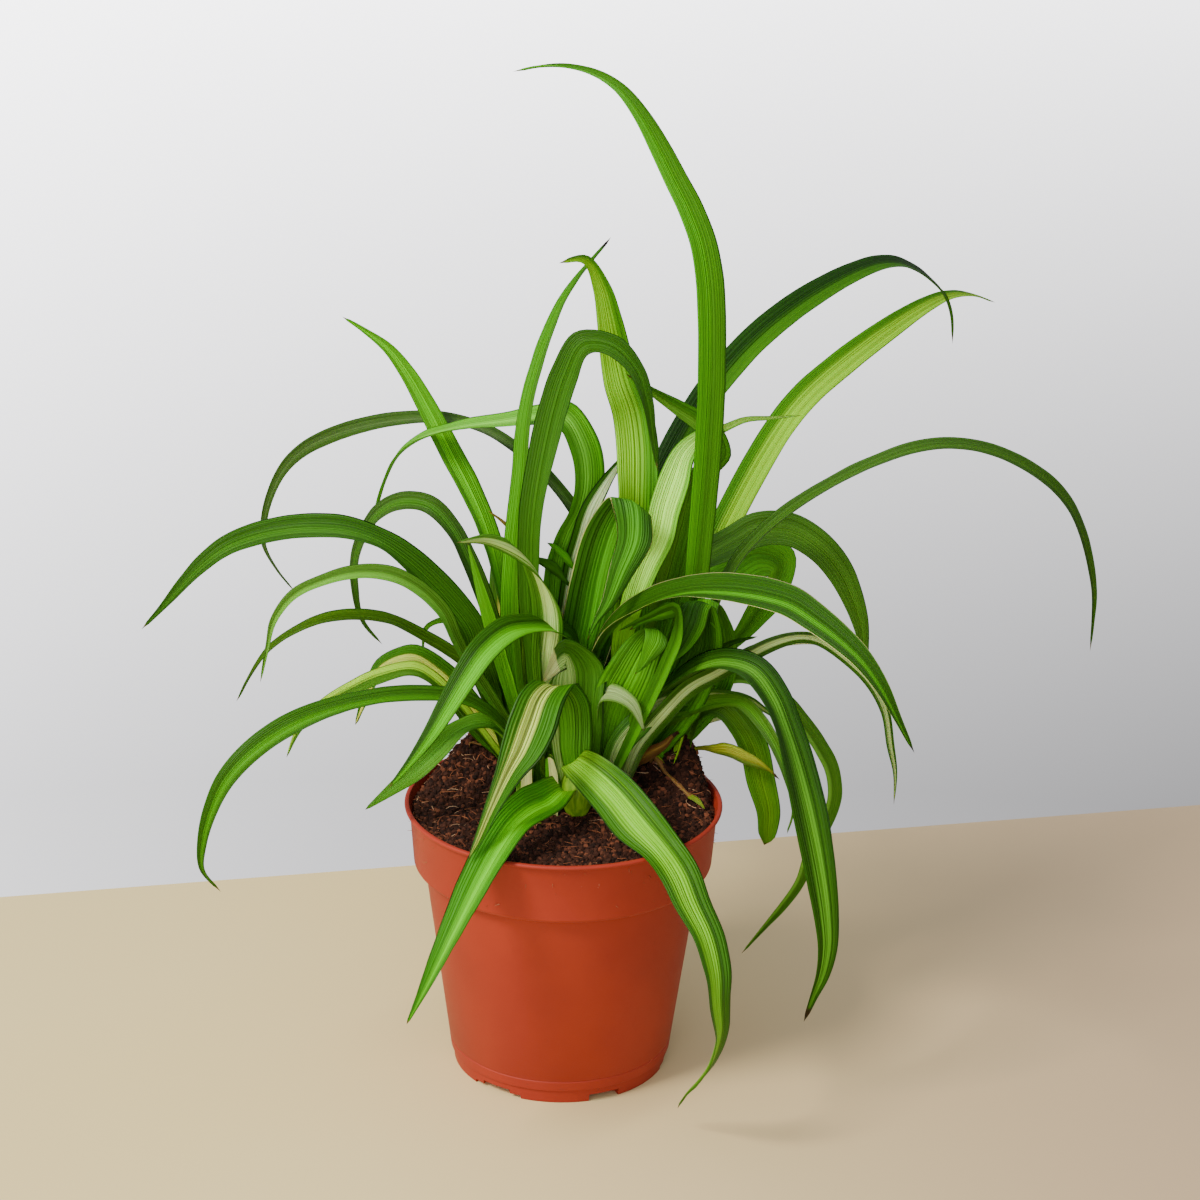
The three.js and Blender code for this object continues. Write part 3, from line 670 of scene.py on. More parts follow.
WHITE_EDGE = {"Margin": IVORY, "Margin Width": 0.02}

# how light each leaf's colour is painted: painted light that lifts the leaves lying in the clump's shade
PAINTED_LIGHT = {
    "leaf_01": 1.8, "leaf_02": 1.35, "leaf_03": 1.1, "leaf_04": 1.1, "leaf_05": 1.15,
    "leaf_06": 1.3, "leaf_07": 1.8, "leaf_08": 2.4, "leaf_09": 3.2, "leaf_11": 1.6, "leaf_12": 2.9,
    "leaf_13": 2.4, "leaf_14": 1.15, "leaf_15": 1.8, "leaf_16": 1.4, "leaf_17": 1.6, "leaf_18": 1.5,
    "leaf_19": 1.6, "leaf_20": 1.95, "leaf_21": 2.0, "leaf_22": 1.4, "leaf_23": 2.6, "leaf_24": 1.4,
    "leaf_25": 2.0, "leaf_26": 1.8, "leaf_27": 1.2, "leaf_28": 2.2, "leaf_29": 1.05, "leaf_30": 1.4,
    "leaf_31": 0.8, "leaf_32": 1.35, "leaf_33": 1.4, "leaf_34": 1.2, "leaf_35": 2.0, "leaf_36": 3.6,
    "leaf_37": 2.9, "leaf_38": 1.1, "leaf_39": 1.6, "leaf_40": 1.2, "leaf_43": 1.8, "leaf_44": 2.0,
    "leaf_45": 1.8, "leaf_46": 2.5, "leaf_47": 1.8, "leaf_48": 1.6, "crumpled_leaves_front": 1.8,
    "crumpled_leaves_right": 3.4, "young_leaves_front": 1.8,
}

LOOKS = {
    "leaf_01_tallest": [TWO_TONE],
    "leaf_02_upright_pale": [
        PALE_LEAF | {"Band": LIME, "Band Place": -0.6, "Band Width": 0.85, "Softness": 0.35}
    ],
    "leaf_03_arched_middle": [PLAIN | {"Band Place": 0.2, "Band Width": 0.8, "Softness": 0.5}],
    "leaf_04_upright_thin": [
        TWO_TONE | {"Green": FULL, "Band Place": -0.4, "Tip": "20180f", "Tip Reach": 0.03}
    ],
    "leaf_05_high_right": [
        PLAIN | {"Green": DEEP, "Band": "346b00", "Band Place": 0.55, "Band Width": 0.6}
    ],
    "leaf_06_pale_right": [PALE_LEAF | {"Band Place": 0.35, "Softness": 0.25}],
    "leaf_07_far_right": [DULL_LEAF],
    "leaf_08_broad_right": [DULL_LEAF],
    "leaf_09_folded_right": [PLAIN | {"Green": MID, "Band": DARK, "Foot Reach": 0.3, "Lines": 0.15}],
    "leaf_10_bright_right": [
        PLAIN | WHITE_EDGE | {
            "Band": FRESH, "Band Place": 0.25, "Band Width": 0.14, "Softness": 0.16, "Tip": "2c2314",
        }
    ],
    "leaf_11_cream_upright": [
        CREAM_LEAF | {
            "Green": "5c9c20", "Band": "98d84c", "Band Place": -0.1, "Band Width": 0.75, "Streaks": 1.0,
            "Foot": "6cb010", "Foot Reach": 0.5, "Lines": 0.3,
        }
    ],
    "leaf_12_blunt_middle": [PLAIN | {"Band": "375c0e", "Band Place": -0.6, "Band Width": 0.6}],
    "leaf_13_bent_left": [FULL_GREEN | {"Green": FULL, "Band": "4f8a1e", "Streaks": 0.7}],
    "leaf_14_high_left": [DULL_LEAF | {"Green": DULL, "Band": GREY, "Band Width": 0.35}],
    "leaf_15_straight_left": [
        BRIGHT_BAND | {"Green": FULL, "Band": "57a800", "Foot": LIME, "Foot Reach": 0.35}
    ],
    "leaf_16_big_left": [PLAIN | {"Band": "34680c", "Band Place": -0.1, "Streaks": 0.6}],
    "leaf_17_hooked_left": [DULL_LEAF | {"Band": "30600a"}],
    "leaf_18_curled_left": [
        TWO_TONE | {"Green": "3c6414", "Band": "5f9c2a", "Band Place": -0.45, "Streaks": 0.4}
    ],
    "leaf_19_low_curled_left": [OLIVE_LEAF | {"Green": OLIVE, "Margin": DEEP, "Margin Width": 0.1}],
    "leaf_20_folded_middle": [
        PLAIN | WHITE_EDGE | {"Green": "1f4a04", "Band": "428a14", "Band Width": 0.22, "Softness": 0.35}
    ],
    "leaf_21_cream_narrow": [
        CREAM_LEAF | {
            "Green": MID, "Band": "cce8a0", "Band Width": 0.6, "Margin": "142a08", "Margin Width": 0.14,
        }
    ],
    "leaf_22_cream_small_left": [
        STRIPED | {
            "Green": "3f7210", "Band": "bcde78", "Band Place": 0.1, "Band Width": 0.45, "Streaks": 0.9,
        }
    ],
    "leaf_23_short_left": [TWO_TONE | {"Green": "3e7a06", "Band": "48880c"}],
    "leaf_24_bright_front_left": [
        BRIGHT_BAND | {"Green": DARK, "Band Place": -0.35, "Band Width": 0.5, "Margin": MID}
    ],
    "leaf_25_dull_front_left": [DULL_LEAF | {"Green": "3a6a10", "Band": "42781c"}],
    "leaf_26_kinked_cream": [
        CREAM_LEAF | {"Green": MID, "Band": "cadb58", "Band Place": 0.0, "Band Width": 0.35}
    ],
    "leaf_27_long_low_left": [
        BRIGHT_BAND | {"Green": "2c5c00", "Band": "418800", "Band Place": -0.2, "Band Width": 0.3}
    ],
    "leaf_28_pale_low_left": [
        STRIPED | {"Green": "30560c", "Band": "83b024", "Band Place": 0.6, "Band Width": 0.4}
    ],
    "leaf_29_striped_front": [
        STRIPED | {
            "Green": "347200", "Band": "bdd65c", "Band Place": 0.15, "Band Width": 0.38, "Streaks": 1.0,
            "Margin": DARK, "Margin Width": 0.14, "Foot": FULL, "Foot Reach": 0.45, "Under Band": 0.1,
            "Lines": 0.7,
        }
    ],
    "leaf_30_short_striped": [
        STRIPED | {
            "Green": "2c5a04", "Band": "86a852", "Band Place": -0.45, "Band Width": 0.4, "Tip": IVORY,
            "Tip Reach": 0.12,
        }
    ],
    "leaf_31_cream_small_front": [
        CREAM_LEAF | {
            "Green": "6a9a38", "Band": "a6c878", "Band Place": 0, "Band Width": 0.7, "Margin": FULL,
        }
    ],
    "leaf_32_over_rim_left": [
        BRIGHT_BAND | {"Green": "2f7200", "Band": BRILLIANT, "Band Place": -0.15, "Margin Width": 0.1}
    ],
    "leaf_33_over_rim_right": [
        STRIPED | {
            "Green": "2c5c00", "Band": "6aac0c", "Band Place": 0.1, "Band Width": 0.42, "Softness": 0.15,
        }
    ],
    "leaf_34_hanging_right": [
        STRIPED | {
            "Green": "1f4800", "Band": "4c8818", "Band Width": 0.35, "Softness": 0.12,
            "Tip": "3a2a14", "Tip Reach": 0.03,
        }
    ],
    "leaf_35_plain_back_right": [OLIVE_LEAF],
    "leaf_36_curling_back_right": [
        DULL_LEAF | {"Band": "46701c", "Band Place": 0.6, "Band Width": 0.35}
    ],
    "leaf_37_light_right": [OLIVE_LEAF | {"Green": "2c4c04", "Band": "305a04"}],
    "leaf_38_cream_arch_right": [
        STRIPED | {
            "Green": "3f7a18", "Band": "a4c46c", "Band Place": 0.1, "Band Width": 0.4, "Streaks": 1.1,
            "Foot": "7a9c48", "Foot Reach": 0.15,
        }
    ],
    "leaf_39_cream_thin_right": [CREAM_LEAF | {"Green": DARK, "Band Place": 0.7, "Band Width": 0.4}],
    "leaf_40_drooping_cream": [
        STRIPED | {
            "Green": "2f5a06", "Band": "b0cc78", "Band Place": 0.1, "Band Width": 0.4, "Streaks": 1.1,
            "Foot": "86aa58", "Foot Reach": 0.15,
        }
    ],
    "leaf_41_dark_thin": [PLAIN],
    "leaf_42_narrow_cream": [CREAM_LEAF | {"Tip": "8a6a3a", "Tip Reach": 0.15}],
    "leaf_43_small_back_left": [FULL_GREEN],
    "leaf_44_olive_tip": [OLIVE_LEAF | {"Tip": "8a7a2a", "Tip Reach": 0.25}],
    "leaf_45_rounded_middle": [FULL_GREEN],
    "leaf_46_pointing_left": [PLAIN | {"Band": "336a02", "Band Place": 0.5, "Band Width": 0.55}],
    "leaf_47_back_low_right": [PLAIN],
    "leaf_48_back_right": [BRIGHT_BAND],
    "leaf_49_back_left": [STRIPED],
    "leaf_50_back_small": [PLAIN],
    "young_leaves_front": [BRIGHT_BAND | {"Green": FRESH}, FULL_GREEN],
    "crumpled_leaves_front": [FULL_GREEN, PLAIN | {"Green": DEEP, "Band": FULL, "Band Place": 0.8}],
    "crumpled_leaves_right": [PLAIN | {"Lines": 0.15}, PLAIN | {"Band": FULL, "Lines": 0.15}],
    "old_leaves_back": [
        OLIVE_LEAF | {
            "Green": "4c7008", "Band": "8f9024", "Band Place": 0.5, "Band Width": 0.5, "Tip": "4a2c14",
            "Tip Reach": 0.06,
        },
        DRY,
    ],
}
print("looks:", len(LOOKS), "named, for", len(LEAVES), "packed leaves")

# %% [markdown]
# A real leaf isn't always as wide as its packed strap. Most leaves keep the strap's width and spread by
# half of it towards the foot, where they clasp the crown. The others are listed here.

# %% Leaf shapes
# how much broader than its packed strap each leaf is, and how far its foot spreads
USUAL = (1.0, 0.5)
AS_WRITTEN = (1.0, 0.0)
SHAPES = {
    "leaf_02_upright_pale": (1.12, 0.5),
    "leaf_03_arched_middle": (1.12, 0.4),
    "leaf_08_broad_right": (1.35, 0.6),
    "leaf_09_folded_right": (1.7, 0.7),
    "leaf_12_blunt_middle": (1.4, 0.5),
    "leaf_13_bent_left": (1.25, 0.6),
    "leaf_16_big_left": (1.15, 0.8),
    "leaf_22_cream_small_left": (1.15, 0.0),
    "leaf_30_short_striped": (1.5, 0.3),
    "leaf_31_cream_small_front": (2.0, 1.0),
    "leaf_45_rounded_middle": (1.5, 0.5),
    "leaf_48_back_right": (1.3, 1.0),
}
print("leaves with a width of their own:", len(SHAPES))

# %% [markdown]
# Some leaves are creased, hooked or blunt: they go up, fold over sharply and hang down in front of
# themselves. A packed strap only tells roughly where such a leaf is, so its guide is written out here,
# row by row, in millimetres: the midrib's point, and then half the width as a vector.

# %% Creased leaves
CREASED = {
    "crumpled_leaves_front": [
        [
            (14, 2, 98, 2.7, 0, -0.3), (14, 0, 116, 6.1, 0, -1.7), (17, -2, 132, 7.8, 0, -3.5),
            (22, -4, 145, 7.4, 0, -3.8), (27, -5, 156, 5.7, 0, -2.4), (30, -7, 161, 4.3, 0, -1.7),
            (30, -10, 158, 3.7, 0, -2), (28, -10, 154, 2.7, 0, -1.7), (26, -10, 150, 1.3, 0, -1),
            (23, -10, 146, 0.2, 0, 0),
        ],
        [
            (22, 14, 96, 2.8, 0, -1.1), (29, 10, 112, 5.5, 0, -2.8), (38, 6, 129, 6.5, 0, -4.2),
            (45, 3, 145, 6.1, 0, -3.5), (47, 1, 157, 5.4, 0, -2), (45, -2, 168, 5, 0, -1.3),
            (43, -5, 169, 4.6, 0, -1), (41, -7, 163, 5, 0, -1.7), (38, -7, 156, 3.7, 0, -2.1),
            (34, -7, 150, 1.7, 0, -1.4), (32, -7, 144, 0.2, 0, 0),
        ],
    ],
    "crumpled_leaves_right": [
        [
            (26, 22, 96, 2.8, 0, -0.7), (43, 20, 118, 4.9, 0, -2.9), (52, 16, 138, 5.5, 0, -2.8),
            (52, 12, 154, 5.1, 0, -1.3), (48, 6, 166, 4, 0, -1), (47, 2, 167, 3.7, 0, -0.6),
            (48, 0, 163, 2.7, 0, -1), (50, 0, 159, 1.4, 0, -0.7), (52, 0, 156, 0.2, 0, 0),
        ],
        [
            (22, 20, 96, 2.8, 0, -0.7), (28, 18, 111, 4.9, 0, -2.1), (35, 14, 131, 5.2, 0, -2.1),
            (40, 8, 152, 4.4, 0, -1.4), (40, 2, 164, 3.1, 0, -2.1), (35, -2, 166, 1.4, 0, -2.8),
            (29, -3, 164, 1, 0, -2.1), (25, -3, 162, 0.7, 0, -1.4), (21, -3, 159, 0.1, 0, -0.2),
        ],
    ],
    "leaf_11_cream_upright": [
        [
            (16, 14, 103, 1.7, 0, -0.3), (16, 11, 115, 2.1, 0, -0.3), (17, 9, 129, 2.7, 0, -0.3),
            (18, 8, 142, 3, 0, -0.7), (19, 7, 153, 3.4, 0, -1), (22, 6, 166, 3.7, 0, -1.3),
            (26, 6, 179, 4.7, 0, -1.7), (30, 6, 189, 5, 0, -2), (32, 7, 199, 5, 0, -2.3),
            (35, 8, 209, 4.7, 0, -2.7), (38, 10, 217, 3, 0, -2.7), (44, 13, 222, 1.4, 0, -2.4),
            (50, 17, 223, 0.7, 0, -1.4), (58, 22, 225, 0.4, 0, -1), (67, 28, 224, 0.3, 0, -0.7),
            (78, 35, 223, 0.1, 0, -0.1),
        ],
    ],
    "leaf_20_folded_middle": [
        [
            (8, 4, 98, 2.7, 0, 0.4), (3, 11, 117, 5.1, 0, 1.2), (4, 14, 136, 8.8, 0, 2.7),
            (8, 13, 156, 10.4, 0, 3.4), (11, 9, 175, 10.3, 0, 2), (15, 4, 192, 9.6, 0, -0.5),
            (20, -1, 203, 7.3, 2, -3.6), (22, -6, 201, 6.6, 2, -3.6), (22, -8, 192, 5.6, 0, -1.6),
            (18, -8, 181, 4, 0, -1), (14, -7, 170, 2.3, 0, -0.7), (10, -6, 163, 1, 0, -0.3),
            (7, -6, 156, 0.2, 0, 0),
        ],
    ],
    "leaf_21_cream_narrow": [
        [
            (-2, 18, 97, 1.7, 0, 0), (-2, 18, 112, 2.1, 0, 0), (-2, 17, 129, 2, 0, 0),
            (-2, 17, 147, 2.4, 0, -0.3), (0, 16, 164, 2.7, 0, -0.7), (2, 16, 176, 3, 0, -1),
            (4, 15, 184, 3, 0, -1.4), (6, 14, 192, 3, 0, -1.3), (8, 15, 197, 2.7, 0, -1.4),
            (11, 17, 202, 2, 0, -1.4), (14, 20, 206, 1.4, 0, -1), (18, 24, 210, 0.7, 0, -0.7),
            (22, 28, 212, 0.1, 0, -0.1),
        ],
    ],
    "leaf_22_cream_small_left": [
        [
            (-1, 8, 96, 2.1, 0, 0), (-4, 8, 114, 2.7, 0, 0.1), (-6, 6, 130, 3.4, 0, -0.3),
            (-7, 3, 145, 4, 0, -0.6), (-6, 0, 158, 4.7, 0, -1), (-7, -5, 171, 4.3, 0, -2),
            (-11, -11, 183, 3, 0, -3.1), (-17, -16, 191, 1.3, 0, -3.1), (-26, -21, 196, 0.3, 0, -1.7),
            (-35, -27, 197, 0.1, 0, -0.3),
        ],
    ],
    "leaf_29_striped_front": [
        [
            (6, -9, 98, -2.7, 0, -0.1), (5, -11, 108, -4, 0, -0.1), (4, -12, 119, -5.3, 0, -0.1),
            (4, -11, 127, -5.6, -1, 0.3), (3, -12, 136, -5.9, -3, 1.5), (0, -15, 142, -6.2, -4, 1.8),
            (-4, -19, 145, -6.8, -4, 2.2), (-8, -25, 143, -7.1, -3, 3.2), (-11, -31, 136, -7.5, -2, 3.9),
            (-14, -36, 129, -6.5, -1, 3.1), (-18, -40, 122, -4.2, -1, 2.1), (-23, -46, 112, -2.3, 0, 1),
            (-27, -50, 103, -1.3, 0, 0.7), (-30, -54, 98, -0.1, 0, 0),
        ],
    ],
    "leaf_33_over_rim_right": [
        [
            (3, -9, 108, -1.7, 0, -1.1), (3, -12, 115, -3.6, -1, -2.5), (6, -17, 116, -4.9, -1, -3.6),
            (12, -22, 113, -5.9, -1, -4.4), (18, -28, 109, -6.5, -2, -4.3),
            (25, -35, 103, -6.8, -2, -4.3), (33, -43, 97, -6.1, -2.8, -1.9),
            (38, -52, 93, -6.3, -3.4, -0.6), (42, -59, 86, -5.9, -4.1, 0.5), (47, -66, 78, -5.1, -4.8, 1),
            (50, -71, 68, -4.3, -5.1, 0.9), (51, -74, 58, -3.3, -5.1, 0.5),
            (52, -74, 47, -2.3, -4.7, -0.3), (50, -72, 36, -1.8, -3, -0.9),
            (47, -67, 27, -1.2, -1.6, -0.8), (43, -61, 18, -0.6, -0.7, -0.4),
            (40, -55, 9, -0.2, -0.2, -0.1),
        ],
    ],
    "leaf_35_plain_back_right": [
        [
            (41, 13, 105, 0.7, -1.2, 0), (43, 13, 115, 1.2, -2.4, -0.3), (46, 13, 124, 1.2, -4.2, -1.6),
            (53, 12, 126, -2, -4.6, -2.4), (59, 10, 121, -3.8, -3.4, -1.8),
            (64, 8, 113, -4.6, -1.9, -1.4), (67, 6, 102, -4.8, -0.3, -1), (70, 5, 91, -4.1, 0, -0.3),
            (70, 5, 83, -3.2, 0, 0), (70, 5, 80, -1.8, 0, 0), (69, 5, 78, -0.3, 0, 0),
        ],
    ],
    "leaf_38_cream_arch_right": [
        [
            (16, -1, 105, 2.4, 0, -0.7), (16, -3, 111, 3.4, 0, -1.4), (19, -3, 119, 3.7, 0, -2.5),
            (25, -2, 126, 3.1, 0, -3.2), (32, 1, 132, 1.8, 0, -3.2), (42, 6, 132, 0.8, 0, -2.9),
            (52, 10, 131, 0.1, 0, -2.6), (63, 13, 128, -0.3, 0, -1.8), (72, 15, 121, -0.1, 0, -0.3),
        ],
    ],
    "leaf_40_drooping_cream": [
        [
            (20, 2, 101, 2.1, 0, -0.7), (22, -1, 110, 2.7, 0, -1.4), (25, -2, 118, 2.7, 0, -2.1),
            (32, -3, 128, 2.4, 0, -2.5), (41, -4, 139, 2.1, 0, -2.5), (50, -5, 145, 1.7, 0, -2.5),
            (58, -5, 150, 1.4, 0, -2.5), (68, -3, 155, 0.8, 0, -2.5), (77, -1, 157, 0.4, 0, -2.1),
            (85, 1, 155, -0.2, 0, -2.1), (94, 0, 149, -0.9, 0, -1.8), (102, -3, 142, -1.3, 0, -1.5),
            (107, -6, 133, -1.3, 0, -1.1), (109, -9, 122, -1.3, 0, -0.4), (111, -10, 112, -0.7, 0, -0.1),
            (111, -11, 101, -0.1, 0, 0),
        ],
    ],
    "old_leaves_back": [
        [
            (39, 16, 105, 0.4, -1.2, 0.6), (43, 14, 109, 0.3, -1.4, 0.8), (47, 11, 111, 0, -2.2, 1.6),
            (51, 7, 112, -0.5, -2, 2.6), (56, 3, 113, -1, -1.2, 3.4), (61, 0, 112, -1.4, -0.8, 3.6),
            (66, -2, 111, -1.4, -0.5, 2.8), (70, -3, 109, -0.8, -0.2, 1), (73, -3, 106, -0.1, 0, 0.1),
        ],
        [
            (24, 7, 107, 0.8, 0, -1.6), (27, 6, 110, 1.2, 0, -2.2), (31, 5, 113, 1, 0, -1.8),
            (34, 5, 115, 0.8, 0, -1.2), (37, 6, 118, 0.4, 0, -0.7), (41, 7, 120, 0.1, 0, -0.2),
        ],
    ],
    "young_leaves_front": [
        [
            (2, 15, 102, 1.7, 0, 0), (3, 15, 126, 2, 0, 0), (5, 14, 149, 2.4, 0, -0.3),
            (6, 13, 164, 2.4, 0, -0.7), (5, 12, 171, 2, 0, -1.7), (2, 12, 176, 1, 0, -2.8),
            (-1, 12, 179, 0.4, 0, -2.5), (-4, 12, 182, 0, 0, -1.4), (-7, 12, 184, 0, 0, -0.1),
        ],
        [
            (0, 17, 101, 1.4, 0, 0), (3, 17, 126, 1.7, 0, 0), (4, 16, 144, 2.4, 0, 0),
            (4, 15, 159, 2.4, 0, -1), (2, 14, 167, 1.7, 0, -2.5), (-2, 14, 172, 0.7, 0, -2.8),
            (-6, 14, 175, 0, 0, -2.1), (-10, 14, 177, 0, 0, -1.1), (-15, 14, 178, 0, 0, -0.1),
        ],
    ],
}

MM = 0.001
CUP = 0.28


def written_guide(rows):
    """A guide from written rows. The edges stand up from the midrib by a share of the width."""
    ribs = [Vector(row[:3]) * MM for row in rows]
    guide = []
    for i, row in enumerate(rows):
        half = Vector(row[3:]) * MM
        tangent = ribs[min(i + 1, len(ribs) - 1)] - ribs[max(i - 1, 0)]
        up = half.cross(tangent).normalized()
        guide.append((ribs[i], half, up * half.length * CUP))
    return guide


for name, parts in CREASED.items():
    LEAVES[name] = [written_guide(rows) for rows in parts]
    SHAPES.setdefault(name, AS_WRITTEN)
print("creased leaves:", sum(len(parts) for parts in CREASED.values()))

# %% [markdown]
# Each guide becomes a line of points that carry the two section vectors. One point is added below
# the foot, so that the blade starts inside its crown instead of on top of it. A long leaf gets more
# rows, so that its curve stays smooth, and the crumpled young leaves ripple more than the others.

# %% Make the leaves
ROW_STEP = 0.0016
ROOTED = 0.004
BLADE_SIZES = {"Columns": 14, "Thickness": 0.00055, "Flatter": 0.85}
RIPPLE = 0.0012
CRUMPLED_RIPPLE = 0.004
USUAL_LIGHT = 1.25


def guide_mesh(name, guide):
    rib, half, lift = guide[0]
    guide = [(rib - Vector((0, 0, ROOTED)), half * 0.9, lift)] + guide
    mesh = bpy.data.meshes.new(name)
    mesh.from_pydata([row[0] for row in guide], [(i, i + 1) for i in range(len(guide) - 1)], [])
    for column, key in ((1, "half"), (2, "lift")):
        values = mesh.attributes.new(key, "FLOAT_VECTOR", "POINT").data
        values.foreach_set("vector", [value for row in guide for value in row[column]])
    return mesh


def blade(name, guide, sizes, seed, finish):
    """One blade along a guide, as an object of its own."""
    values = sizes | {"Seed": float(seed), "Finish": finish}
    return run_tree(name, guide_mesh(name + "_guide", guide), BLADE, values)


leaf_pieces = []
for number, (name, guides) in enumerate(LEAVES.items()):
    broader, foot_spread = SHAPES.get(name, USUAL)
    for part, guide in enumerate(guides):
        length = sum((b[0] - a[0]).length for a, b in zip(guide, guide[1:]))
        # the leaf's brightness, which for leaves in the clump's shade is painted light
        light = PAINTED_LIGHT.get(name[:7]) or PAINTED_LIGHT.get(name, USUAL_LIGHT)
        piece_name = name + "_blade" + ("" if len(guides) == 1 else f"_{part + 1}")
        sizes = BLADE_SIZES | {
            "Rows": round(length / ROW_STEP),
            "Ripple": CRUMPLED_RIPPLE if name.startswith("crumpled") else RIPPLE,
            "Broader": broader,
            "Foot Spread": foot_spread,
        }
        finish = leaf_material(piece_name, LOOKS[name][part] | {"Brightness With Painted Light": light})
        leaf_pieces.append((blade(piece_name, guide, sizes, number + 60 * part, finish), name))
print("blades:", len(leaf_pieces), "triangles:", sum(2 * len(p.data.polygons) for p, _ in leaf_pieces))

# %% [markdown]
# ## The pot
# The pot is one injection moulding: a thin tapered wall, a deep band with a rounded shoulder, and a
# rolled lip. A lathe profile gives all of it. Each point of the profile is a real corner of the pot,
# and the short runs between close points are the mould's small roundings.

# %% Pot sizes
RIM_R = max(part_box("pot")[1][:2])
RIM_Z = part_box("pot")[1].z
WALL = 1.3 * MM
BAND_Z = 74 * MM
BAND_LOW_R = 50.9 * MM
BAND_TOP_R = 52.4 * MM
BODY_TOP_R = 47.2 * MM
BODY_LOW_R = 38.2 * MM
FOOT_R = 37 * MM
FOOT_LINE_Z = 5.6 * MM
MOULD_LINE_Z = 8.7 * MM
MOULD_LINE_DEPTH = 0.22 * MM
FLOOR_Z = 2.6 * MM
FLOOR_TOP_Z = 4.0 * MM
FOOT_RING_R = 33.8 * MM
PAD_R = 13 * MM
POT_SIDES = 192
# the radii of the pot's roundings: small ones, below the band, its shoulder, the lip and the floor
ROUND = 0.3 * MM
UNDER_BAND_ROUND = 0.6 * MM
SHOULDER_ROUND = 1.6 * MM
LIP_ROUND = 0.7 * MM
LIP_INNER_ROUND = 0.4 * MM
FLOOR_ROUND = 1.4 * MM
TAPER = (BODY_TOP_R - BODY_LOW_R) / (BAND_Z - FOOT_LINE_Z)
MOULD_LINE_R = BODY_LOW_R + TAPER * (MOULD_LINE_Z - FOOT_LINE_Z)
print("rim radius:", round(RIM_R, 4), "taper:", round(TAPER, 3))


# %% Turn the pot
def arc(centre_r, centre_z, radius, start, end, count):
    """Points of a rounded corner, from one angle to another, in degrees."""
    turns = [math.radians(start + (end - start) * i / count) for i in range(count + 1)]
    return [(centre_r + radius * math.cos(a), centre_z + radius * math.sin(a)) for a in turns]


pot_profile = [
    (0, 0),
    *arc(PAD_R - ROUND, ROUND, ROUND, -90, 0, 3),
    (PAD_R + MM, FLOOR_Z),
    (FOOT_RING_R - MM, FLOOR_Z),
    *arc(FOOT_RING_R + ROUND, ROUND, ROUND, 180, 270, 3),
    *arc(FOOT_R - ROUND, ROUND, ROUND, -90, 0, 3),
    (FOOT_R + 0.5 * MM, FOOT_LINE_Z - 0.7 * MM),
    *arc(BODY_LOW_R - ROUND, FOOT_LINE_Z - ROUND, ROUND, -60, 0, 3),
    (MOULD_LINE_R - 0.02 * MM, MOULD_LINE_Z - ROUND),
    (MOULD_LINE_R - MOULD_LINE_DEPTH, MOULD_LINE_Z),
    (MOULD_LINE_R + 0.02 * MM, MOULD_LINE_Z + ROUND),
    (BODY_TOP_R, BAND_Z - UNDER_BAND_ROUND),
    *arc(BODY_TOP_R + UNDER_BAND_ROUND, BAND_Z - UNDER_BAND_ROUND, UNDER_BAND_ROUND, 180, 90, 4),
    *arc(BAND_LOW_R - SHOULDER_ROUND, BAND_Z + SHOULDER_ROUND, SHOULDER_ROUND, -90, 0, 8),
    (BAND_TOP_R - 0.1 * MM, RIM_Z - 2 * MM),
    *arc(BAND_TOP_R + ROUND, RIM_Z - 1.8 * MM, ROUND, 180, 90, 3),
    *arc(RIM_R - LIP_ROUND, RIM_Z - LIP_ROUND, LIP_ROUND, -60, 90, 8),
    *arc(RIM_R - 1.2 * MM, RIM_Z - LIP_INNER_ROUND, LIP_INNER_ROUND, 90, 180, 4),
    (BAND_TOP_R - WALL + 0.2 * MM, RIM_Z - 3.4 * MM),
    (BAND_LOW_R - WALL, BAND_Z + 3 * MM),
    (BODY_TOP_R - WALL, BAND_Z + MM),
    *arc(BODY_LOW_R - WALL - FLOOR_ROUND, FLOOR_TOP_Z + FLOOR_ROUND, FLOOR_ROUND, 0, -90, 4),
    (0, FLOOR_TOP_Z),
]
pot_mesh = turned("pot_turned", pot_profile, POT_SIDES)
print("pot profile points:", len(pot_profile))

# %% [markdown]
# The foot ring is notched, so that water can run out from under the pot, and the floor has six drain
# holes. Every second notch is wider and stepped. A boolean modifier cuts them all with one set of boxes
# and rods.

# %% Notches and drain holes
NOTCH_FIRST = math.radians(25 - 90)
NOTCHES = 6
# the width and height of a notch, and of the step beside every second one
NOTCH = (11 * MM, 2.6 * MM)
NOTCH_STEP = (19 * MM, 1.3 * MM)
NOTCH_DEPTH = 7 * MM
DRAIN_R = 3.2 * MM
DRAIN_RING_R = 25 * MM
DRAIN_SIDES = 32
DRAIN_DEPTH = 4 * MM


def notch_cutter():
    cutter = bmesh.new()
    for i in range(NOTCHES):
        spin = Matrix.Rotation(NOTCH_FIRST + i * 2 * math.pi / NOTCHES, 4, "Z")
        for width, height in (NOTCH, NOTCH_STEP)[: 1 + i % 2]:
            size = Matrix.Diagonal((NOTCH_DEPTH, width, 2 * height, 1))
            bmesh.ops.create_cube(cutter, matrix=spin @ Matrix.Translation((FOOT_R, 0, 0)) @ size)
        bmesh.ops.create_cone(
            cutter,
            cap_ends=True,
            segments=DRAIN_SIDES,
            radius1=DRAIN_R,
            radius2=DRAIN_R,
            depth=DRAIN_DEPTH,
            matrix=spin @ Matrix.Translation((DRAIN_RING_R, 0, FLOOR_Z)),
        )
    mesh = bpy.data.meshes.new("notch_cutter")
    cutter.to_mesh(mesh)
    cutter.free()
    return new_object("notch_cutter", mesh)


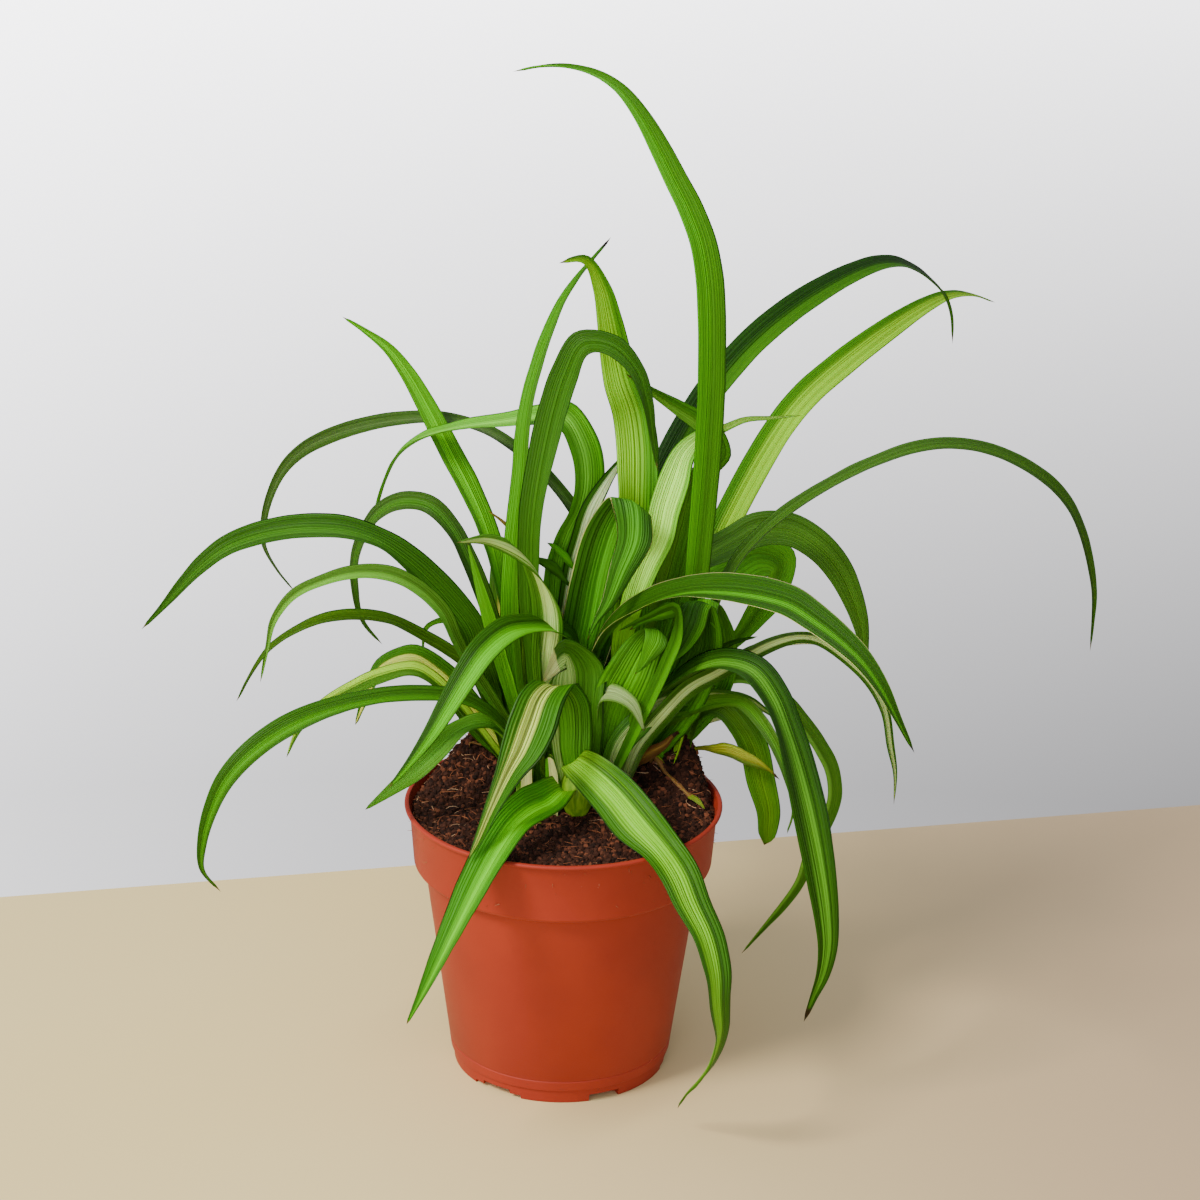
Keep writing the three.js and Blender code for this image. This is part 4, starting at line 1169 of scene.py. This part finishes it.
def cut(name, mesh, cutter):
    source = new_object(name + "_source", mesh)
    modifier = source.modifiers.new("cut", "BOOLEAN")
    modifier.object = cutter
    modifier.operation = "DIFFERENCE"
    modifier.solver = "EXACT"
    modifier.use_self = True
    piece = plain_copy(name, source)
    bpy.data.objects.remove(cutter)
    return piece


pot = cut("pot_moulded", pot_mesh, notch_cutter())
soften(pot.data)
print("pot triangles:", sum(len(face.vertices) - 2 for face in pot.data.polygons))

# %% [markdown]
# Moulded plastic is even in colour, but never flat: the surface has a fine satin grain, the colour clouds
# a little where the plastic flowed, and some peat dust clings to the wall. Low down the dust specks are
# painted stronger, as painted shade near the foot.

# %% Pot finish
TERRACOTTA = ("8f2c1d", "99311f")
# the dust colour, which low down also serves as painted shade near the foot
DUST_AND_SHADE = "5e3322"
DUST_AND_SHADE_Z = 14 * MM
CLOUD_SCALE = 28.0
SPECK_SCALE = 900.0
GRAIN_SCALE = 2600.0


def pot_finish():
    material, tree, shader = new_material("terracotta_plastic", Specular_IOR_Level=0.2)
    cloud = soft_step(tree, noise_at(tree, CLOUD_SCALE, 3.0), 0.3, 0.7)
    colour = blended(tree, cloud, rgb(TERRACOTTA[0]), rgb(TERRACOTTA[1]))
    height = parts_of(tree, node(tree, "ShaderNodeTexCoord").outputs["Object"])["Z"]
    speck = soft_step(tree, noise_at(tree, SPECK_SCALE, 3.0), 0.64, 0.72)
    # dust specks all over, painted stronger below this height as painted shade near the foot
    dust_and_foot_shade = maths(tree, "MULTIPLY_ADD", soft_step(tree, height, DUST_AND_SHADE_Z, 0.0), 0.5, 0.12)
    colour = blended(tree, maths(tree, "MULTIPLY", speck, dust_and_foot_shade), colour, rgb(DUST_AND_SHADE))
    grain = noise_at(tree, GRAIN_SCALE)
    rough = out(tree, "ShaderNodeMapRange", {"Value": grain, "To Min": 0.46, "To Max": 0.6})
    feed(tree, shader, Base_Color=colour, Roughness=rough)
    add_bump(tree, shader, grain, 0.00006, 0.5)
    return material


pot.data.materials.clear()
pot.data.materials.append(pot_finish())
print("pot finish:", pot.data.materials[0].name)

# %% [markdown]
# ## The peat
# The peat is heaped behind the crowns and lies just below the rim. A disc of points is raised by a
# few heaps, and roughened with noise of three sizes. Thousands of crumbs and a few hundred root fibres
# are then strewn over it by Geometry Nodes.

# %% Soil surface
PEAT_DARK = "170a05"
PEAT_LIGHT = "3b2014"
SOIL_RADIUS = 50.6 * MM
SOIL_LEVEL = 93.2 * MM
SOIL_ROWS = 110
SOIL_TURNS = 200
# in millimetres: each heap is its centre, its height above the level peat and its spread, each lump
# is a size and a height, and the peat's side is radii and heights down the inside of the pot
HEAPS = (
    (-31, 33, 15, 14), (38, 24, 13, 12), (4, 10, 3, 16), (8, 42, 10, 16), (29, 12, 6, 8), (45, 14, 13, 7),
)
LUMPS = ((8, 1.0), (3.5, 0.7), (1.6, 0.35))
SOIL_SIDE = ((49.3, 77.2), (45.6, 75.4), (36.3, 6.5), (35, 4.4))
PATCH_SCALE = 260.0
PEAT_GRAIN = 1500.0


def ground(x, y):
    """The peat's height at a place: level, with heaps that fall away just inside the pot's wall."""
    rise = 0.0
    for heap_x, heap_y, height, spread in HEAPS:
        away = math.hypot(x / MM - heap_x, y / MM - heap_y)
        rise += height * math.exp(-((away / spread) ** 2) / 2)
    edge = min(1.0, math.hypot(x, y) / SOIL_RADIUS)
    return SOIL_LEVEL + rise * (1 - edge**16) * MM


def lumpy(x, y):
    """Lumps of several sizes, from 8 mm clods down to grains."""
    rise = 0.0
    for size, height in LUMPS:
        rise += height * noise.noise(Vector((x, y, size)) / (size * MM))
    return rise * MM


def soil_mesh():
    rows = [[(0.0, 0.0, ground(0, 0) + lumpy(0, 0))]]
    for k in range(1, SOIL_ROWS + 1):
        radius = SOIL_RADIUS * k / SOIL_ROWS
        places = [(radius * math.cos(a), radius * math.sin(a)) for a in angles(SOIL_TURNS)]
        rows.append([(x, y, ground(x, y) + lumpy(x, y)) for x, y in places])
    for r, z in SOIL_SIDE:
        ring = [Vector((r * math.cos(a), r * math.sin(a), z)) * MM for a in angles(SOIL_TURNS)]
        rows.append(ring)
    rows.append([(0, 0, SOIL_SIDE[-1][1] * MM)])
    mesh = skinned("soil_body", rows)
    mesh.shade_smooth()
    return mesh


def peat_finish():
    material, tree, shader = new_material("peat", Roughness=0.95, Specular_IOR_Level=0.2)
    patches = soft_step(tree, noise_at(tree, PATCH_SCALE, 4.0), 0.35, 0.7)
    feed(tree, shader, Base_Color=blended(tree, patches, rgb(PEAT_DARK), rgb(PEAT_LIGHT)))
    add_bump(tree, shader, noise_at(tree, PEAT_GRAIN, 3.0), 0.0005)
    return material


soil = new_object("soil_body", soil_mesh())
soil.data.materials.append(peat_finish())
print("soil triangles:", 2 * len(soil.data.polygons))

# %% [markdown]
# Peat is a mass of crumbs with fine roots and bits of straw in it. Both repeat thousands of times, so
# one Geometry Nodes tree strews them: it drops points on the upper faces of the soil at random, puts a
# small mesh on each with its own turn and size, and stores a random shade for the material.

# %% The strewing tree
FULL_TURN = 6.28


def strewing_tree():
    tree = bpy.data.node_groups.new("strewn bits", "GeometryNodeTree")
    given = add_sockets(
        tree,
        [
            ("Ground", "Geometry", None),
            ("Bit", "Object", None),
            ("Lowest", "Float", 0.085),
            ("Density", "Float", 1000.0),
            ("Tilt", "Float", 3.1),
            ("Smallest", "Float", 0.4),
            ("Largest", "Float", 1.0),
            ("Seed", "Int", 1),
            ("Finish", "Material", None),
        ],
        [("Bits", "Geometry")],
    )
    height = parts_of(tree, out(tree, "GeometryNodeInputPosition"))["Z"]
    limits = {0: height, 1: given["Lowest"]}
    high = out(tree, "FunctionNodeCompare", limits, operation="GREATER_THAN")
    where = {
        "Mesh": given["Ground"], "Selection": high, "Density": given["Density"], "Seed": given["Seed"],
    }
    points = node(tree, "GeometryNodeDistributePointsOnFaces", where).outputs["Points"]
    bit = node(tree, "GeometryNodeObjectInfo", {"Object": given["Bit"]}).outputs["Geometry"]

    def random(low, high, shift):
        seed = maths(tree, "ADD", given["Seed"], shift)
        limits = {2: low, 3: high, "Seed": seed}
        return node(tree, "FunctionNodeRandomValue", limits, data_type="FLOAT").outputs[1]

    other_way = maths(tree, "MULTIPLY", given["Tilt"], -1.0)
    tilt = random(other_way, given["Tilt"], 10.0)
    lean = random(other_way, given["Tilt"], 20.0)
    rotation = vector_of(tree, tilt, lean, random(0.0, FULL_TURN, 30.0))
    size = random(given["Smallest"], given["Largest"], 40.0)
    placed = {"Points": points, "Instance": bit, "Rotation": rotation, "Scale": size}
    bits = out(tree, "GeometryNodeInstanceOnPoints", placed)
    bits = out(
        tree,
        "GeometryNodeStoreNamedAttribute",
        {"Geometry": bits, "Name": "shade", "Value": random(0.0, 1.0, 50.0)},
        data_type="FLOAT",
        domain="INSTANCE",
    )
    bits = out(tree, "GeometryNodeRealizeInstances", {"Geometry": bits})
    bits = out(tree, "GeometryNodeSetMaterial", {"Geometry": bits, "Material": given["Finish"]})
    return finish_tree(tree, [bits])


STREWN = strewing_tree()
print("strewing tree:", len(STREWN.nodes), "nodes")

# %% [markdown]
# What repeats thousands of times has to be light. A crumb is an icosphere of twenty faces that noise
# has knocked out of round, and a fibre is a bent three-sided rod. The stored shade makes one material
# enough for all crumbs: most are as dark as the peat, and a few are reddish brown.


# %% Crumb, fibre and their finish
BIT_GRAIN = 3000.0


def crumb_mesh():
    """A small lump, knocked out of round by noise."""
    shape = bmesh.new()
    bmesh.ops.create_icosphere(shape, subdivisions=1, radius=1.0 * MM)
    for vert in shape.verts:
        vert.co *= 1.0 + 0.55 * noise.noise(vert.co * 1700 + Vector((3, 5, 1)))
    mesh = bpy.data.meshes.new("crumb")
    shape.to_mesh(mesh)
    shape.free()
    return mesh


FIBRE_SIDES = 3
FIBRE_R = 0.13 * MM
FIBRE_POINTS = ((-3, -1.2, 0), (-1.6, -0.2, 0.4), (0, 0.3, 0.5), (1.7, 0, 0.4), (3.2, -0.9, 0))


def fibre_mesh():
    """A thin rod along a bent path, which narrows to a point at both ends."""
    path = [Vector(point) * MM for point in FIBRE_POINTS]
    rows = [[path[0]]]
    for before, point, after in zip(path, path[1:], path[2:]):
        turn = (after - before).to_track_quat("Z", "Y").to_matrix()
        round_it = [Vector((math.cos(a), math.sin(a), 0)) for a in angles(FIBRE_SIDES)]
        rows.append([point + turn @ corner * FIBRE_R for corner in round_it])
    return skinned("fibre", rows + [[path[-1]]])


def shaded_finish(name, colours):
    """A matt finish that runs through three colours by each bit's own stored shade."""
    material, tree, shader = new_material(name, Roughness=0.9, Specular_IOR_Level=0.2)
    shade = node(tree, "ShaderNodeAttribute", attribute_name="shade").outputs["Fac"]
    low = maths(tree, "MULTIPLY", shade, 1.7, clamp=True)
    colour = blended(tree, low, rgb(colours[0]), rgb(colours[1]))
    colour = blended(tree, soft_step(tree, shade, 0.75, 1.0), colour, rgb(colours[2]))
    feed(tree, shader, Base_Color=colour)
    add_bump(tree, shader, noise_at(tree, BIT_GRAIN), 0.0002)
    return material


# %% Strew the crumbs and fibres
LOWEST_BIT = 86 * MM


def strewn(name, bit, values, colours):
    """Strews copies of a small mesh over the peat's upper faces."""
    source = new_object(name + "_bit", bit)
    fixed = {"Bit": source, "Lowest": LOWEST_BIT, "Finish": shaded_finish(*colours)}
    piece = run_tree(name, soil.data.copy(), STREWN, fixed | values)
    bpy.data.objects.remove(source)
    return piece


crumbs = strewn(
    "soil_crumbs",
    crumb_mesh(),
    {"Density": 700000.0, "Tilt": 3.1, "Smallest": 0.35, "Largest": 1.15, "Seed": 4},
    ("peat_crumbs", (PEAT_DARK, PEAT_LIGHT, "6b3d28")),
)
fibres = strewn(
    "soil_fibres",
    fibre_mesh(),
    {"Density": 85000.0, "Tilt": 0.5, "Smallest": 0.3, "Largest": 1.3, "Seed": 9},
    ("root_fibres", ("5a2e1c", "8a5436", "c9a27e")),
)
print("crumb faces:", len(crumbs.data.polygons), "fibre faces:", len(fibres.data.polygons))

# %% [markdown]
# ## The crowns
# A crown is the short stock that the leaves grow from. All that shows of it is a ring of sheaths, the
# broad feet of old and young leaves that clasp each other above the peat. A sheath is a small leaf, so
# the same tree makes it: its guide climbs the crown and leans out, and its edges turn in towards the
# crown. Each crown has its own number of sheaths, its own height and its own mix of greens.

# %% Sheaths
CROWNS = {
    "crown_front": {"count": 7, "tall": 26, "wide": 4.5, "seed": 3, "looks": (0, 1, 2, 3)},
    "crown_left": {"count": 10, "tall": 34, "wide": 6.5, "seed": 14, "looks": (0, 1, 2, 3)},
    "crown_right": {"count": 11, "tall": 42, "wide": 7.5, "seed": 25, "looks": (4, 5, 3, 4)},
    "crown_back": {"count": 8, "tall": 16, "wide": 4.0, "seed": 36, "looks": (4, 3, 5)},
}
SHEATH_LOOKS = [
    FULL_GREEN | {"Foot": CREAM, "Foot Reach": 0.3},
    STRIPED | {"Green": FULL, "Foot": CREAM, "Foot Reach": 0.25},
    PALE_LEAF | {"Foot": "b9cf6a", "Foot Reach": 0.4},
    PLAIN | {"Foot": LIME, "Foot Reach": 0.35},
    DULL_LEAF | {"Foot": "4f7010", "Foot Reach": 0.3},
    DRY,
]
sheath_finishes = [leaf_material(f"sheath_{i + 1}", look) for i, look in enumerate(SHEATH_LOOKS)]
# rows of a sheath: the share of its height, of the crown's radius and of its width
SHEATH_ROWS = ((0, 0.7, 0.8), (0.3, 0.85, 1), (0.6, 1.0, 0.85), (0.85, 1.3, 0.45), (1, 1.6, 0.08))
SHEATH_SIZES = {
    "Rows": 26, "Columns": 12, "Thickness": 0.0007, "Ripple": 0.0012, "Broader": 1.0,
    "Foot Spread": 0.0, "Flatter": 1.0,
}
# each sheath grows a golden angle round from the last, as leaves do
GOLDEN_ANGLE = math.radians(137.5)
BURIED = 5 * MM
# each is the share at the first sheath, and how much it has changed by the last
REACH_SHARE = (0.75, -0.4)
TALL_SHARE = (0.6, 0.5)
WIDE_SHARE = (1, -0.3)
VARY_TALL = 5
TURNED_IN = 0.7


def sheath_guide(middle, radius, angle, tall, wide, lean):
    """A guide that climbs the crown's side, with the edges of its sections turned in to the crown."""
    outward = Vector((math.cos(angle), math.sin(angle), 0))
    side = Vector((-math.sin(angle), math.cos(angle), 0))
    guide = []
    for share, reach, width in SHEATH_ROWS:
        rib = middle + outward * radius * (1 + (reach - 1) * lean) + Vector((0, 0, tall * share))
        inward = -outward * wide * TURNED_IN * width * (1 - 0.6 * share)
        guide.append((rib, side * wide * width, inward))
    return guide


def joined(name, pieces):
    """Joins objects into one, which keeps their attributes and materials."""
    with bpy.context.temp_override(
        active_object=pieces[0], object=pieces[0], selected_editable_objects=pieces
    ):
        bpy.ops.object.join()
    pieces[0].name = name
    return pieces[0]


def crown(node_name, count, tall, wide, seed, looks):
    """A crown's sheaths. The later ones are narrower, taller and nearer its middle."""
    low, high = (Vector(corner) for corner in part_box(node_name))
    radius = (high.x - low.x) / 2
    middle = Vector(((low.x + high.x) / 2, (low.y + high.y) / 2, high.z - BURIED))
    sheaths = []
    for i in range(count):
        reach, height, width = (
            first + change * i / count for first, change in (REACH_SHARE, TALL_SHARE, WIDE_SHARE)
        )
        vary = noise.noise(Vector((i * 1.7, seed, 0.5)))
        guide = sheath_guide(
            middle,
            radius * reach,
            i * GOLDEN_ANGLE + vary,
            (tall * height + VARY_TALL * vary) * MM,
            wide * width * MM,
            1 + vary,
        )
        finish = sheath_finishes[looks[i % len(looks)]]
        name = f"{node_name}_sheath_{i + 1}"
        sheaths.append(blade(name, guide, SHEATH_SIZES, 200 + 10 * seed + i, finish))
    return joined(node_name + "_sheaths", sheaths)


crown_pieces = {name: [crown(name, **sizes)] for name, sizes in CROWNS.items()}
print("sheaths:", {name: sizes["count"] for name, sizes in CROWNS.items()})

# %% [markdown]
# Where the sheaths part, the stock itself shows: a smooth pale-green bulb that narrows where it enters
# the peat. It is turned on the lathe too. Two broad cream sheaths and a narrow green one stand beside
# the front stock, where they show between the leaves.

# %% Stocks and front sheaths
# in millimetres: each stock's place and its size, and the radii and heights of a stock of size 1
STOCKS = {
    "crown_front": (4.6, -7.5, 1.05),
    "crown_left": (-10, 15, 0.8),
    "crown_right": (19, 24, 0.9),
    "crown_back": (35, 14, 0.7),
}
STOCK_PROFILE = ((0, -6), (2.6, -5), (3.6, 0), (5.0, 3.2), (5.6, 7), (5.0, 11), (3.2, 15), (0, 17))
STOCK_SIDES = 48
# ridges run up the stock, so their noise is finer round it than along it
STOCK_RIDGES = (900.0, 900.0, 120.0)
# each front sheath is its midrib, half its width at each point, and its look
FRONT_SHEATHS = [
    ([(-13, -9, 92), (-13, -10, 100), (-13, -10, 108), (-12, -10, 117)], (2.6, 2.9, 2.6, 1.4), "cream"),
    ([(-9, -8, 92), (-9, -9, 100), (-9, -9, 108), (-9, -9, 116)], (1.4, 1.4, 1.2, 0.6), "green"),
    ([(-4, -9, 92), (-4, -10, 100), (-4, -10, 109), (-5, -10, 116)], (2.2, 2.4, 2.2, 1.2), "cream"),
]


def stock_finish():
    material, tree, shader = new_material("crown_stock", Roughness=0.5, Specular_IOR_Level=0.3)
    here = node(tree, "ShaderNodeTexCoord").outputs["Object"]
    ridge = noise_at(tree, 1.0, 2.0, vectors(tree, "MULTIPLY", here, STOCK_RIDGES))
    colour = blended(tree, soft_step(tree, ridge, 0.35, 0.65), rgb("5f8c12"), rgb("7fa81e"))
    feed(tree, shader, Base_Color=colour)
    add_bump(tree, shader, ridge, 0.0003)
    return material


stock_material = stock_finish()
for name, (x, y, size) in STOCKS.items():
    profile = [(radius * size * MM, z * size * MM) for radius, z in STOCK_PROFILE]
    mesh = turned(name + "_stock", profile, STOCK_SIDES)
    mesh.transform(Matrix.Translation((x * MM, y * MM, ground(x * MM, y * MM))))
    soften(mesh, 80)
    mesh.materials.append(stock_material)
    crown_pieces[name].append(new_object(name + "_stock", mesh))

cream_look = CREAM_LEAF | {"Green": BRIGHT, "Band Width": 0.7, "Foot": IVORY, "Foot Reach": 0.6}
front_finishes = {"cream": leaf_material("cream_sheath", cream_look), "green": sheath_finishes[3]}
for i, (points, widths, look) in enumerate(FRONT_SHEATHS):
    guide = written_guide([(*point, width, 0, 0) for point, width in zip(points, widths)])
    piece = blade(f"front_sheath_{i + 1}", guide, SHEATH_SIZES, 400 + i, front_finishes[look])
    crown_pieces["crown_front"].append(piece)
print("crown pieces:", {name: len(pieces) for name, pieces in crown_pieces.items()})

# %% [markdown]
# Old leaves wither to thin brown strands that lie on the peat. They are blades like the others, with
# narrow guides that run along the ground. The longest one still has a bit of green at its end.

# %% Withered strands
# in millimetres: each strand's path over the ground, and its widths
STRANDS = [
    (
        [(30, 10), (32, 8), (34, 5.5), (36, 4), (39, 2), (42.5, -0.5), (45.5, -2), (48, -5)],
        (1.7, 1.5, 0.9, 0.6, 1.1, 1.0, 1.4, 0.1),
    ),
    ([(-33, 23), (-30, 22), (-27, 21.5), (-24, 20.5)], (0.2, 0.7, 0.6, 0.1)),
    ([(-20, -12), (-16, -15), (-11, -16), (-7, -19)], (0.1, 0.5, 0.5, 0.1)),
]
STRAND_SIZES = SHEATH_SIZES | {"Rows": 40, "Columns": 8, "Thickness": 0.0004, "Ripple": 0.0015}
STRAND_RISE = 1.9
STRAND_LOOK = DRY | {
    "Green": "8a6032", "Band": "b08a4c", "Margin": "6b4a24", "Tip": "8aa428", "Tip Reach": 0.24,
}


def strand_guide(path, widths):
    """A guide that follows the ground, just above the crumbs."""
    rows = []
    for (x, y), width in zip(path, widths):
        level = ground(x * MM, y * MM) / MM + STRAND_RISE
        rows.append((x, y, level, -0.7 * width, -0.7 * width, 0))
    return written_guide(rows)


strand_finish = leaf_material("withered", STRAND_LOOK)
strands = [
    blade(f"withered_strand_{i + 1}", strand_guide(*strand), STRAND_SIZES, 500 + i, strand_finish)
    for i, strand in enumerate(STRANDS)
]
print("withered strands:", len(strands))

# %% [markdown]
# ## Floor, backdrop and light
# The plant stands on a plain pale table in a studio. The table ends at a straight edge behind the pot,
# and painted shade makes its paint a little darker and greyer to the right, away from the light.

# %% Table
TABLE_EDGE = ((-0.219, 0.113), (0.265, 0.222))
TABLE_REACH = 3.0


def table():
    (x0, y0), (x1, y1) = TABLE_EDGE
    slope = (y1 - y0) / (x1 - x0)
    far = TABLE_REACH
    right, left = y1 + slope * (far - x1), y0 - slope * (far + x0)
    corners = [(-far, -far), (far, -far), (far, right), (-far, left)]
    mesh = bpy.data.meshes.new("table")
    mesh.from_pydata([(x, y, 0) for x, y in corners], [], [(0, 1, 2, 3)])
    return new_object("table", mesh)


def table_finish():
    material, tree, shader = new_material("table_paint", Roughness=0.75)
    mottle = soft_step(tree, noise_at(tree, 3.0, 3.0), 0.3, 0.7)
    paint = blended(tree, mottle, rgb("dfca8d"), rgb("e0cd94"))
    side = parts_of(tree, node(tree, "ShaderNodeTexCoord").outputs["Object"])["X"]
    # painted shade: the paint turns darker and greyer towards the right, away from the light
    paint = blended(tree, soft_step(tree, side, -0.1, 0.25), paint, rgb("bea683"))
    feed(tree, shader, Base_Color=paint)
    return material


floor = table()
floor.data.materials.append(table_finish())
print("table corners:", len(floor.data.vertices))

# %% [markdown]
# The plant gets an even soft light from all round, a little more of it from the left. The camera sees
# another background, a pale wall with a painted fall-off of light, so that it darkens a little to the
# lower right. A big soft lamp stands high on the left and a little in front, so the pot shades off to the
# right and its shadow falls back to the right. A weaker one fills the front.

# %% Light
BRIGHT_SIDE = Vector((-0.8, -0.55, 0.5))
SOFT_LIGHT = 0.55
BRIGHT_SIDE_LIGHT = 0.9
# the wall's brightness changes within these limits of the looking direction
WALL_ACROSS = (-0.25, 0.25)
WALL_DOWN = (-0.4, -0.15)
# in stops: how the wall's painted light and its painted fall to the right each change with the height
HORIZON = 0.186
WALL_STOPS = (9.4, 1.84)
WALL_SLOPE = (10.9, -2.04)
LAMPS = {
    "key": {"place": (-0.95, -0.75, 1.35), "size": 0.55, "power": 40, "colour": "fff4e6"},
    "fill": {"place": (-0.2, -1.7, 0.7), "size": 1.0, "power": 9, "colour": "f4f7ff"},
}
LAMP_AIM = Vector((0, 0, 0.12))


def studio_world(tree):
    plus, _, times, times_plus = sums(tree)
    lit = tree.nodes["Background"]
    lit.inputs["Color"].default_value = rgb("f1f3f8")
    way = node(tree, "ShaderNodeTexCoord").outputs["Generated"]
    sides = {0: way, 1: BRIGHT_SIDE.normalized()}
    toward = node(tree, "ShaderNodeVectorMath", sides, operation="DOT_PRODUCT").outputs["Value"]
    toward = maths(tree, "MAXIMUM", toward, 0.0)
    tree.links.new(times_plus(toward, BRIGHT_SIDE_LIGHT, SOFT_LIGHT), lit.inputs["Strength"])

    def held(value, lowest, highest):
        return maths(tree, "MINIMUM", maths(tree, "MAXIMUM", value, lowest), highest)

    across = held(parts_of(tree, way)["X"], *WALL_ACROSS)
    down = plus(held(parts_of(tree, way)["Z"], *WALL_DOWN), HORIZON)
    slope = times_plus(down, *WALL_SLOPE)
    stops = plus(times_plus(down, *WALL_STOPS), times(across, slope))
    wall = {"Color": rgb("fdfcff"), "Strength": maths(tree, "POWER", 2.0, stops)}
    shown = out(tree, "ShaderNodeBackground", wall)
    seen = node(tree, "ShaderNodeLightPath").outputs["Is Camera Ray"]
    mixed = out(tree, "ShaderNodeMixShader", {0: seen, 1: lit.outputs[0], 2: shown})
    tree.links.new(mixed, tree.nodes["World Output"].inputs["Surface"])


def soft_lamp(name, place, size, power, colour):
    lamp = bpy.data.lights.new(name, "AREA")
    lamp.shape = "DISK"
    lamp.size = size
    lamp.energy = power
    lamp.color = rgb(colour)[:3]
    made = bpy.data.objects.new(name, lamp)
    scene.collection.objects.link(made)
    made.location = place
    made.rotation_euler = (LAMP_AIM - Vector(place)).to_track_quat("-Z", "Y").to_euler()


world = bpy.data.worlds.new("studio")
world.use_nodes = True
studio_world(world.node_tree)
scene.world = world
for name, settings in LAMPS.items():
    soft_lamp(name, **settings)

# %% [markdown]
# ## Riding with the model
# Every piece moves with the one body of the imported model, and stands for its imported node, which is
# hidden.

# %% Ride and replace
def belongs(piece, node_name):
    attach(piece, "root")
    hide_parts(node_name)


for piece, name in leaf_pieces:
    belongs(piece, name)
belongs(pot, "pot")
for piece in (soil, crumbs, fibres, *strands):
    belongs(piece, "soil")
for name, pieces in crown_pieces.items():
    for piece in pieces:
        belongs(piece, name)
